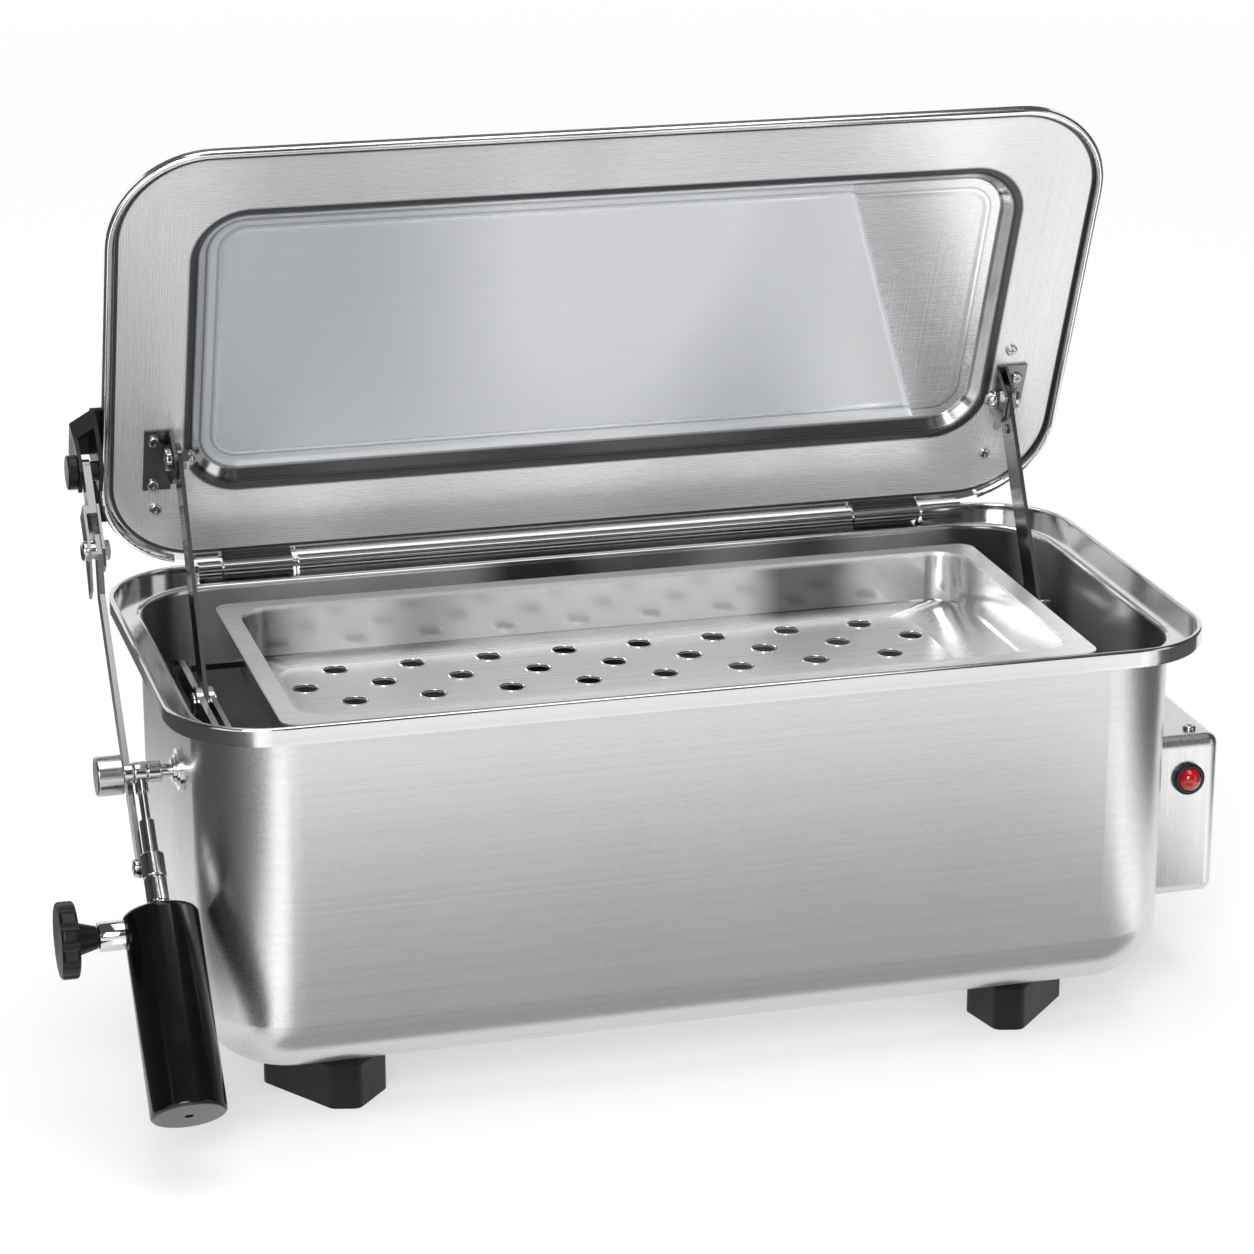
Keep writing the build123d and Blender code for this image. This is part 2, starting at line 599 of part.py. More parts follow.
def make_cradle_end(side):
    """Bar on edge beside the strap. It butts against the eyes of both rails."""
    bar = plate_yz(bar_side(-EYE_Y, EYE_Y), side * CRADLE_INNER, side * CRADLE_OUTER)
    for y in (-EYE_Y, EYE_Y):
        bar = bar - round_z(EYE_RADIUS, CRADLE_TOP - 20, CRADLE_TOP + 20, side * CRADLE_MID, y)
    return bar


def make_cradle_cheek(side):
    """Second bar on the strap's inner side. It butts against the front rail."""
    cheek = plate_yz(bar_side(RAIL_WIDTH - RAIL_OUTER, CRADLE_PIN_Y), side * CHEEK_INNER, side * CHEEK_OUTER)
    return cheek - round_z(EYE_RADIUS, CRADLE_TOP - 20, CRADLE_TOP + 20, side * CRADLE_MID, -EYE_Y)


def make_cradle_pin(side):
    """Headed pin in the end bar. The strap carries the next part of the same pin."""
    y, z = CRADLE_PIN_Y, CRADLE_PIN_Z
    head = round_x(5.0, side * CRADLE_OUTER, side * (CRADLE_OUTER + 1.8), y, z)
    head = fillet(head.edges(), 0.7)
    return head + round_x(PIN_RADIUS, side * CRADLE_INNER, side * (CRADLE_OUTER + 0.5), y, z)


def make_cheek_pin(side):
    """The pin's inner end with its riveted head."""
    y, z = CRADLE_PIN_Y, CRADLE_PIN_Z
    head = round_x(4.6, side * CHEEK_INNER, side * (CHEEK_INNER - 1.8), y, z)
    head = fillet(head.edges(), 0.7)
    return head + round_x(PIN_RADIUS, side * CHEEK_OUTER, side * (CHEEK_INNER - 0.5), y, z)


def make_cradle_rail(side):
    """Flat bar under the tray's step, with a round eye at each end."""
    low = CRADLE_TOP - RAIL_HEIGHT
    y0 = side * (RAIL_OUTER - RAIL_WIDTH)
    y1 = side * RAIL_OUTER
    bar = block(-CRADLE_MID, CRADLE_MID, y0, y1, low, CRADLE_TOP)
    for x in (-CRADLE_MID, CRADLE_MID):
        bar = bar + round_z(EYE_RADIUS, low, CRADLE_TOP, x, side * EYE_Y)
        bar = bar - round_z(4.2, low - 1, CRADLE_TOP + 1, x, side * EYE_Y)
    return bar


def tray_body(shrink):
    """Solid form of the pan, smaller inside by the sheet."""
    length = TRAY_LENGTH - 2 * TRAY_FLANGE - 2 * shrink
    width = TRAY_WIDTH - 2 * TRAY_FLANGE - 2 * shrink
    corner = TRAY_CORNER - shrink
    floor = TRAY_Z - TRAY_WALL
    upper = rounded_box(length, width, TRAY_WALL + shrink * 2, corner, floor + shrink - TRAY_SHEET)
    top_face = Pos(0, 0, floor - TRAY_SHEET + shrink) * RectangleRounded(
        length - 2 * TRAY_STEP, width - 2 * TRAY_STEP, corner - TRAY_STEP)
    low_length = length - 2 * TRAY_STEP - 2 * TRAY_END_SLOPE
    low_width = width - 2 * TRAY_STEP - 2 * TRAY_SIDE_SLOPE
    low_z = floor - TRAY_SHEET + shrink - TRAY_FLOOR_DROP
    low_face = Pos(TRAY_PATTERN_X, 0, low_z) * RectangleRounded(low_length, low_width, corner - 6.0)
    return upper + loft([top_face, low_face])


def make_tray():
    corner = 8.0
    flange = rounded_box(TRAY_LENGTH, TRAY_WIDTH, TRAY_SHEET, corner, TRAY_Z - TRAY_SHEET)
    outer = tray_body(0.0)
    trim = block(-250, 250, -150, 150, TRAY_Z, TRAY_Z + 30)
    pan = flange + (outer - trim)
    pan = pan - tray_body(TRAY_SHEET)
    for row in range(TRAY_ROWS):
        y = TRAY_PATTERN_Y + (TRAY_ROWS - 1) / 2 * TRAY_ROW_PITCH - row * TRAY_ROW_PITCH
        count = 8 if row % 2 == 0 else 9
        start = TRAY_PATTERN_X - (count - 1) / 2 * TRAY_HOLE_PITCH
        for k in range(count):
            pan = pan - round_z(TRAY_HOLE_RADIUS, TRAY_Z - 45, TRAY_Z - 20, start + k * TRAY_HOLE_PITCH, y)
    return pan


# Heater
def make_heating_element():
    reach = WALL_X + 22.0
    far = -150.0
    bend = ELEMENT_HALF_PITCH
    path = Line((reach, -bend), (far, -bend))
    path = path + RadiusArc((far, -bend), (far, bend), bend)
    path = path + Line((far, bend), (reach, bend))
    wire = Pos(0, 0, ELEMENT_HEIGHT) * Wire(path.edges())
    profile = Plane(origin=(reach, -bend, ELEMENT_HEIGHT), z_dir=(-1, 0, 0)) * Circle(ELEMENT_RADIUS)
    tube = sweep(profile, path=wire)
    for y in (-bend, bend):
        tube = tube + round_x(1.8, reach - 1, reach + 8, y, ELEMENT_HEIGHT)
    return tube


def make_element_rest():
    """Strip welded to the floor, with a notch for each leg of the element."""
    floor = FOOT_HEIGHT + SHEET
    top = ELEMENT_HEIGHT + 1.0
    width = ELEMENT_HALF_PITCH + 9.0
    rest = block(-121.0, -119.5, -width, width, floor, top)
    rest = rest + block(-121.0, -109.0, -width, width, floor, floor + 1.5)
    for y in (-ELEMENT_HALF_PITCH, ELEMENT_HALF_PITCH):
        rest = rest - round_x(ELEMENT_RADIUS, -130, -100, y, ELEMENT_HEIGHT)
        rest = rest - block(-130, -112, y - ELEMENT_RADIUS, y + ELEMENT_RADIUS, ELEMENT_HEIGHT, top + 1)
    return rest


def element_collars():
    """For each leg an inner shouldered bush, a gasket and an outer nut on the wall."""
    bushes = []
    gaskets = []
    nuts = []
    inner = WALL_X - SHEET
    for y in (-ELEMENT_HALF_PITCH, ELEMENT_HALF_PITCH):
        z = ELEMENT_HEIGHT
        bore = round_x(ELEMENT_RADIUS, inner - 20, WALL_X + 20, y, z)
        bush = hex_x(17.0, inner - 6.5, inner - 1.5, y, z) + round_x(6.8, inner - 4, WALL_X + 9.0, y, z)
        bushes.append(bush - bore)
        gaskets.append(round_x(8.9, inner - 1.5, inner, y, z) - round_x(6.8, inner - 3, inner + 1, y, z))
        nut = hex_x(18.0, WALL_X + 1.5, WALL_X + 6.5, y, z)
        nuts.append(nut - round_x(6.8, WALL_X, WALL_X + 8, y, z))
    return bushes, gaskets, nuts


# Control box
def box_screw_places():
    front = BOX_FRONT_Y + BOX_SCREW_INSET
    rear = BOX_REAR_Y - BOX_SCREW_INSET
    top = [(BOX_SCREW_X, y, BOX_TOP, 0) for y in (front, rear)]
    low = [(BOX_SCREW_X, y, BOX_BOTTOM, 180) for y in (front, rear)]
    return top + low


def make_control_box():
    back = WALL_X + SHEET
    outer = block(back, BOX_END_X, BOX_FRONT_Y, BOX_REAR_Y, BOX_BOTTOM, BOX_TOP)
    back_edges = outer.edges().group_by(Axis.X)[0]
    outer = fillet([e for e in outer.edges() if e not in back_edges], BOX_RADIUS)
    s = BOX_SHEET
    inner = block(back - 2, BOX_END_X - s, BOX_FRONT_Y + s, BOX_REAR_Y - s, BOX_BOTTOM + s, BOX_TOP - s)
    back_edges = inner.edges().group_by(Axis.X)[0]
    inner = fillet([e for e in inner.edges() if e not in back_edges], BOX_RADIUS - s)
    cover = outer - inner
    cover = cover - round_y(6.1, BOX_FRONT_Y - 2, BOX_FRONT_Y + 4, LAMP_X, LAMP_Z)
    cover = cover - round_y(7.1, BOX_REAR_Y - 4, BOX_REAR_Y + 2, GLAND_X, GLAND_Z)
    for x, y, z, turn in box_screw_places():
        cover = cover - round_z(1.85, z - 4, z + 4, x, y)
    return cover


def make_box_back_plate():
    """Plate welded on the tank's end, with four long tabs that carry the cover."""
    s = BOX_SHEET
    low = BOX_BOTTOM + s + 0.1
    high = BOX_TOP - s - 0.1
    front = BOX_FRONT_Y + s + 0.3
    rear = BOX_REAR_Y - s - 0.3
    plate = block(WALL_X, WALL_X + SHEET, front, rear, low, high)
    plate = fillet(plate.edges().filter_by(Axis.X), BOX_RADIUS - s)
    for x, y, z, turn in box_screw_places():
        z0, z1 = (high - 1.5, high) if turn == 0 else (low, low + 1.5)
        tab = block(WALL_X, x + 4.0, y - 6, y + 6, z0, z1)
        plate = plate + tab - round_z(1.6, z0 - 1, z1 + 1, x, y)
    for y in (-ELEMENT_HALF_PITCH, ELEMENT_HALF_PITCH):
        plate = plate - round_x(7.0, WALL_X - 1, WALL_X + 4, y, ELEMENT_HEIGHT)
    return plate


def make_box_screws():
    screws = []
    for x, y, z, turn in box_screw_places():
        screw = pan_screw(3.2, 1.8, 1.6, 4.0)
        screws.append(Pos(x, y, z) * Rot(turn, 0, 0) * screw)
    return screws


def make_lamp_bezel():
    front = BOX_FRONT_Y
    flange = round_y(7.8, front - 3.0, front, LAMP_X, LAMP_Z)
    flange = fillet(flange.edges().group_by(Axis.Y)[0], 1.2)
    sleeve = round_y(6.0, front - 1.0, front + 14.0, LAMP_X, LAMP_Z)
    bore = round_y(4.6, front - 2.0, front + 20.0, LAMP_X, LAMP_Z)
    seat = round_y(5.75, front - 5.0, front - 1.2, LAMP_X, LAMP_Z)
    return flange + sleeve - bore - seat


def make_lamp_lens():
    front = BOX_FRONT_Y
    dome = Pos(LAMP_X, front - 1.2, LAMP_Z) * Sphere(5.75)
    keep = block(LAMP_X - 8, LAMP_X + 8, front - 9, front - 1.2, LAMP_Z - 8, LAMP_Z + 8)
    dome = dome & keep
    skirt = round_y(4.6, front - 1.5, front + 5.0, LAMP_X, LAMP_Z)
    return dome + skirt


def make_lamp_body():
    """Lamp with two terminals, pushed into the rear of the bezel, and its ring nut."""
    front = BOX_FRONT_Y
    neon = round_y(4.5, front + 5.2, front + 20.0, LAMP_X, LAMP_Z)
    for side in (-1, 1):
        neon = neon + block(LAMP_X + side * 2 - 0.4, LAMP_X + side * 2 + 0.4, front + 19.5, front + 27.0,
                            LAMP_Z - 1.5, LAMP_Z + 1.5)
    return neon


def make_lamp_nut():
    front = BOX_FRONT_Y + BOX_SHEET
    nut = round_y(8.2, front, front + 3.0, LAMP_X, LAMP_Z)
    return nut - round_y(6.0, front - 1, front + 5, LAMP_X, LAMP_Z)


def make_cord_gland():
    rear = BOX_REAR_Y
    body = Pos(GLAND_X, rear, GLAND_Z) * Rot(-90, 0, 0) * extrude(RegularPolygon(10.4, 6), 5.0)
    neck = round_y(7.8, rear + 4.0, rear + 15.0, GLAND_X, GLAND_Z)
    neck = fillet(neck.edges().group_by(Axis.Y)[-1], 2.0)
    thread = round_y(7.0, rear - 9.0, rear + 1.0, GLAND_X, GLAND_Z)
    return body + neck + thread - round_y(4.2, rear - 12, rear + 18, GLAND_X, GLAND_Z)


def make_gland_nut():
    face = BOX_REAR_Y - BOX_SHEET
    nut = Pos(GLAND_X, face - 4.0, GLAND_Z) * Rot(-90, 0, 0) * extrude(RegularPolygon(10.4, 6), 4.0)
    return nut - round_y(7.0, face - 6, face + 2, GLAND_X, GLAND_Z)


def make_terminal_block():
    base = WALL_X + SHEET
    body = block(base, base + 16.0, -17.0, 17.0, 84.0, 100.0)
    for y in (-11.0, 0.0, 11.0):
        body = body - round_x(2.2, base + 9.0, base + 18.0, y, 92.0)
        body = body - round_z(1.9, 80.0, 104.0, base + 6.0, y)
    return body


def make_thermal_cutout():
    """Disc cutout clamped on the wall between the element legs, above the waterline limit."""
    base = WALL_X + SHEET
    body = round_x(9.5, base, base + 7.0, 0.0, 64.0)
    body = body + round_x(6.0, base + 6.5, base + 12.0, 0.0, 64.0)
    for side in (-1, 1):
        body = body + block(base + 11.5, base + 18.0, side * 3.5 - 0.4, side * 3.5 + 0.4, 62.0, 66.0)
    return body


# Stay
def make_stud_plate():
    plate = round_x(9.5, -WALL_X - 1.2, -WALL_X, STUD_Y, STUD_Z)
    plate = plate + round_x(7.4, -WALL_X - 2.2, -WALL_X - 1.0, STUD_Y, STUD_Z)
    plate = fillet(plate.edges().group_by(Axis.X)[0], 0.5)
    ferrule = round_x(5.6, -WALL_X - 3.8, -WALL_X - 2.0, STUD_Y, STUD_Z)
    ferrule = fillet(ferrule.edges().group_by(Axis.X)[0], 0.7)
    return plate + ferrule - round_x(STUD_RADIUS, -WALL_X - 8, -WALL_X + 8, STUD_Y, STUD_Z)


def make_pivot_stud():
    stud = round_x(STUD_RADIUS, LOCK_KNOB[0] + 2.4, -WALL_X + 10.0, STUD_Y, STUD_Z)
    return chamfer(stud.edges(), 0.5)


def make_stud_nut():
    nut = hex_x(10.0, -WALL_X + SHEET, -WALL_X + SHEET + 5.0, STUD_Y, STUD_Z)
    return nut - round_x(STUD_RADIUS, -WALL_X - 8, -WALL_X + 8, STUD_Y, STUD_Z)


def make_collar(span):
    collar = round_x(COLLAR_RADIUS, span[0], span[1], STUD_Y, STUD_Z)
    collar = fillet(collar.edges(), 0.5)
    return collar - round_x(STUD_RADIUS, span[0] - 1, span[1] + 1, STUD_Y, STUD_Z)


def make_lock_knob():
    knob = round_x(9.0, LOCK_KNOB[0], LOCK_KNOB[1], STUD_Y, STUD_Z)
    knob = fillet(knob.edges(), 0.9)
    return knob - round_x(STUD_RADIUS + ROD_FIT, LOCK_KNOB[1] - 10.3, LOCK_KNOB[1] + 3, STUD_Y, STUD_Z)


def make_swivel_collar():
    """Turning collar on the stud, with a boss that holds the guide rod."""
    half = (SWIVEL[1] - SWIVEL[0]) / 2
    ring = Rot(0, 90, 0) * Cylinder(COLLAR_RADIUS + 0.2, 2 * half)
    ring = fillet(ring.edges(), 0.8)
    boss = Pos(0, 0, 5.5) * Cylinder(2.9, 9.0)
    body = ring + boss
    body = body - Rot(0, 90, 0) * Cylinder(STUD_RADIUS + ROD_FIT, 30)
    body = body - Pos(0, 0, 10.0) * Cylinder(GUIDE_RADIUS, 12.0)
    return on_stay(body)


def make_guide_rod():
    rod = Pos(0, 0, (GUIDE_END + 4.0) / 2) * Cylinder(GUIDE_RADIUS, GUIDE_END - 4.0)
    return on_stay(chamfer(rod.edges(), 0.4))


def local_x(x):
    return x - STAY_X


def stay_plate(points, x0, x1, radius=0.0):
    """Flat stay piece from points given as offset behind the line, and distance along it."""
    outline = flat([(-offset, along) for offset, along in points])
    if radius > 0:
        outline = fillet(outline.vertices(), radius)
    return plate_yz(outline, local_x(x0), local_x(x1))


def make_stay_bar():
    half = BAR_WIDTH / 2
    near = BAR_OFFSET - half
    far = BAR_OFFSET + half
    points = [(-half, BOLT_ALONG - 6), (half, BOLT_ALONG - 6), (half, BOLT_ALONG + 2), (far, -93.0),
              (far, EYE_ALONG), (near, EYE_ALONG), (near, -91.0), (-half, BOLT_ALONG + 4)]
    bar = stay_plate(points, BAR_X, BAR_X + BAR_THICK)
    eye = Pos(0, -BAR_OFFSET, EYE_ALONG) * Rot(0, 90, 0) * Cylinder(half, BAR_THICK)
    bar = bar + Pos(local_x(BAR_X) + BAR_THICK / 2, 0, 0) * eye
    bar = bar - Pos(0, -BAR_OFFSET, EYE_ALONG) * Rot(0, 90, 0) * Cylinder(1.6, 30)
    bar = bar - Pos(0, 0, BOLT_ALONG) * Rot(0, 90, 0) * Cylinder(2.5, 30)
    return on_stay(bar)


CHANNEL_TOP = -STAY_OPEN


def make_stay_channel():
    """U channel, closed and rounded at the knuckle, open towards the front below."""
    web_start = CHANNEL_TOP + 20.0
    low = BOLT_ALONG - 5.6
    flange = [(-6.5, web_start), (6.5, web_start), (6.5, low), (14.3, -93.0), (5.3, -93.0), (-6.5, -108.0)]
    right = [(-6.5, web_start), (6.5, web_start), (6.5, low), (3.0, -101.0), (-3.0, -101.0), (-6.5, -108.0)]
    left = stay_plate(flange, CHANNEL_X, CHANNEL_X + CHANNEL_SHEET)
    right = stay_plate(right, CHANNEL_END_X - CHANNEL_SHEET, CHANNEL_END_X)
    web = stay_plate([(5.0, web_start), (6.5, web_start), (6.5, low - 2.5), (5.0, low - 2.5)], CHANNEL_X,
                     CHANNEL_END_X)
    head = stay_plate([(-5.5, CHANNEL_TOP), (5.5, CHANNEL_TOP), (5.5, web_start + 4), (-5.5, web_start + 4)],
                      *CHANNEL_HEAD)
    thick = CHANNEL_HEAD[1] - CHANNEL_HEAD[0]
    middle = local_x(CHANNEL_HEAD[0]) + thick / 2
    cap = Pos(middle, 0, CHANNEL_TOP) * Rot(0, 90, 0) * Cylinder(5.5, thick)
    neck = stay_plate([(-5.5, web_start), (5.5, web_start), (5.5, web_start + 4), (-5.5, web_start + 4)],
                      CHANNEL_X, CHANNEL_END_X)
    body = left + right + web + head + cap + neck
    body = body - Pos(0, 0, BOLT_ALONG) * Rot(0, 90, 0) * Cylinder(2.5, 30)
    return on_stay(body)


def make_stay_bolt():
    """Pan head bolt that joins the bar to the channel, with a plain nut."""
    face = local_x(CHANNEL_X)
    end = local_x(CHANNEL_END_X)
    bolt = Rot(0, -90, 0) * pan_screw(4.6, 2.6, 2.5, end - face + 3.0)
    return on_stay(Pos(face, 0, BOLT_ALONG) * bolt)


def make_stay_spacer():
    """Spacer between the bar and the left flange, round the bolt."""
    x0 = local_x(CHANNEL_X + CHANNEL_SHEET)
    x1 = local_x(BAR_X)
    spacer = Pos((x0 + x1) / 2, 0, BOLT_ALONG) * Rot(0, 90, 0) * Cylinder(4.0, x1 - x0)
    return on_stay(spacer - Pos(0, 0, BOLT_ALONG) * Rot(0, 90, 0) * Cylinder(2.5, 30))


def make_stay_nut():
    end = local_x(CHANNEL_END_X)
    nut = Pos(end, 0, BOLT_ALONG) * extrude(Plane.YZ * RegularPolygon(4.6, 6), 2.6)
    return on_stay(nut - Pos(0, 0, BOLT_ALONG) * Rot(0, 90, 0) * Cylinder(2.5, 40))


def make_eye_screw():
    face = local_x(BAR_X)
    screw = Rot(0, -90, 0) * pan_screw(4.2, 2.2, 1.6, 7.0)
    return on_stay(Pos(face, -BAR_OFFSET, EYE_ALONG) * screw)


def make_rod_socket():
    """Sleeve and socket that slide on the guide rod. A lug on its side holds the bar's eye."""
    sleeve = Pos(0, 0, 31.0) * Cylinder(3.3, 16.5)
    sleeve = chamfer(sleeve.edges().group_by(Axis.Z)[0], 0.6)
    socket = Pos(0, 0, 44.8) * Cylinder(5.4, 11.5)
    socket = fillet(socket.edges(), 0.9)
    x0 = local_x(BAR_X + BAR_THICK)
    lug = block(x0, x0 + 6.5, -BAR_OFFSET, 0, EYE_ALONG - 4.2, EYE_ALONG + 4.2)
    end = Pos(x0 + 3.25, -BAR_OFFSET, EYE_ALONG) * Rot(0, 90, 0) * Cylinder(4.2, 6.5)
    body = sleeve + socket + lug + end
    body = body - Pos(0, 0, 40.0) * Cylinder(GUIDE_RADIUS + GUIDE_FIT, 60.0)
    tap = Pos(x0 + 2.0, -BAR_OFFSET, EYE_ALONG) * Rot(0, 90, 0) * Cylinder(1.6, 5.5)
    return on_stay(body - tap)


def make_ferrule():
    """Threaded ferrule between the socket and the black cylinder."""
    body = Pos(0, 0, 56.1) * Cylinder(5.0, 11.0)
    body = fillet(body.edges().group_by(Axis.Z)[0], 0.6)
    body = body + Pos(0, 0, 63.0) * Cylinder(4.2, 12.0)
    return on_stay(body - Pos(0, 0, 60.0) * Cylinder(GUIDE_RADIUS + GUIDE_FIT, 40.0))


def make_cylinder_tube():
    """Hollow black cylinder. The guide rod runs inside it."""
    length = CYLINDER_END - 3.0 - CYLINDER_START
    tube = Pos(0, 0, CYLINDER_START + length / 2) * Cylinder(CYLINDER_RADIUS, length)
    tube = fillet(tube.edges().group_by(Axis.Z)[0], 2.5)
    hollow = Pos(0, 0, CYLINDER_START + 4.0 + 50.0) * Cylinder(CYLINDER_RADIUS - 2.2, 100.0)
    tube = tube - hollow
    tube = tube - Pos(0, 0, CYLINDER_START) * Cylinder(4.2, 20.0)
    tap = Pos(-CYLINDER_RADIUS, 0, CLAMP_ALONG) * Rot(0, 90, 0) * Cylinder(3.0, 20.0)
    return on_stay(tube - tap)


def make_cylinder_cap():
    z0 = CYLINDER_END - 3.0
    cap = Pos(0, 0, z0 + 1.5) * Cylinder(CYLINDER_RADIUS, 3.0)
    cap = fillet(cap.edges().group_by(Axis.Z)[-1], 1.6)
    plug = Pos(0, 0, z0 - 2.0) * (Cylinder(CYLINDER_RADIUS - 2.2, 4.0) - Cylinder(CYLINDER_RADIUS - 4.2, 5.0))
    hole = Pos(0, 0, CYLINDER_END) * Cylinder(2.0, 1.6)
    return on_stay(cap + plug - hole)


CLAMP_COLLAR_END = -CYLINDER_RADIUS - 11.5


def make_clamp_collar():
    """Chrome sleeve on the cylinder's side."""
    x1 = -math.sqrt(CYLINDER_RADIUS ** 2 - 6.5 ** 2)
    collar = Pos((CLAMP_COLLAR_END + x1) / 2, 0, CLAMP_ALONG) * Rot(0, 90, 0) * Cylinder(
        6.5, x1 - CLAMP_COLLAR_END)
    collar = fillet(collar.edges().group_by(Axis.X)[0], 0.8)
    core = Pos(0, 0, CLAMP_ALONG) * Cylinder(CYLINDER_RADIUS, 30.0)
    return on_stay(collar - core - Pos(-25, 0, CLAMP_ALONG) * Rot(0, 90, 0) * Cylinder(3.0, 40))


def make_clamp_knob():
    """Fluted black disc on a screw. The screw's tip grips the guide rod."""
    tip = -GUIDE_RADIUS - FACE_GAP
    outer = local_x(CLAMP_FACE_X)
    stem = Pos((outer + tip) / 2, 0, 0) * Rot(0, 90, 0) * Cylinder(2.9, tip - outer)
    disc = Rot(0, 90, 0) * Cylinder(17.0, 8.0)
    disc = fillet(disc.edges(), 1.6)
    for k in range(12):
        flute = Rot(k * 30, 0, 0) * Pos(0, 0, 18.6) * Rot(0, 90, 0) * Cylinder(2.6, 10.0)
        disc = disc - flute
    disc = Pos(outer + 4.0, 0, 0) * disc
    hub_x = CLAMP_COLLAR_END - 0.5
    hub = Pos((outer + 8.0 + hub_x) / 2, 0, 0) * Rot(0, 90, 0) * Cone(7.5, 5.0, hub_x - outer - 8.0)
    return on_stay(Pos(0, 0, CLAMP_ALONG) * (stem + disc + hub))


# Knuckle bracket on the lid's left edge
def make_knuckle_bracket():
    """Black fork that hangs from the lid's edge and takes the channel's rounded end."""
    low = KNUCKLE_N - 7.0
    top = SHEET + 2.0
    k = KNUCKLE_V
    wall = [(k - 9, low + 3), (k - 9, top), (k + 16, top), (k + 16, -10.0), (k + 11, KNUCKLE_N + 1), (k + 6, low)]
    outline = flat([(lid_y(v), LID_Z + n) for v, n in wall])
    inner = plate_yz(outline, *FORK_INNER)
    wall = [(k - 9, low + 3), (k - 9, top), (k + 8, top), (k + 9, -8.0), (k + 8, KNUCKLE_N - 1), (k + 5, low)]
    outline = flat([(lid_y(v), LID_Z + n) for v, n in wall])
    outer = plate_yz(outline, *FORK_OUTER)
    roof = flat([(FORK_INNER[1], lid_y(k - 9)), (FORK_OUTER[0], lid_y(k - 9)), (FORK_OUTER[0], lid_y(k + 8)),
                 (FORK_INNER[1], lid_y(k + 16))])
    web = Pos(0, 0, LID_Z + SHEET) * extrude(roof, 2.0)
    end = flat([(FORK_INNER[1], lid_y(k + 16)), (FORK_INNER[1], lid_y(k + 13.5)),
                (FORK_OUTER[0], lid_y(k + 5.5)), (FORK_OUTER[0], lid_y(k + 8))])
    end = Pos(0, 0, LID_Z - 10.0) * extrude(end, 10.0 + SHEET + 2.0)
    plate = block(FORK_INNER[1] - 1.0, -206.0, lid_y(k + 16), lid_y(26.0), LID_Z + SHEET, LID_Z + SHEET + 2.0)
    boss = round_x(4.5, FORK_INNER[0] + 0.5, CHANNEL_HEAD[1] + FACE_GAP, *KNUCKLE_CLOSED)
    body = inner + outer + web + end + plate + boss
    body = body - round_x(3.0, FORK_OUTER[0] - 2, FORK_OUTER[1] + 0.01, *KNUCKLE_CLOSED)
    left, right = lid_screw_places()
    for x, v in left:
        body = body - round_z(1.65, LID_Z, LID_Z + 6, x, lid_y(v))
    return open_lid(body)


def make_thumb_screw():
    """Black thumb screw in the fork's outer wall."""
    head = round_x(8.0, FORK_OUTER[0] - 5.0, FORK_OUTER[0] - 0.1, *KNUCKLE_OPEN)
    head = fillet(head.edges(), 0.9)
    return head + round_x(2.95, FORK_OUTER[0] - 1, FORK_OUTER[1], *KNUCKLE_OPEN)


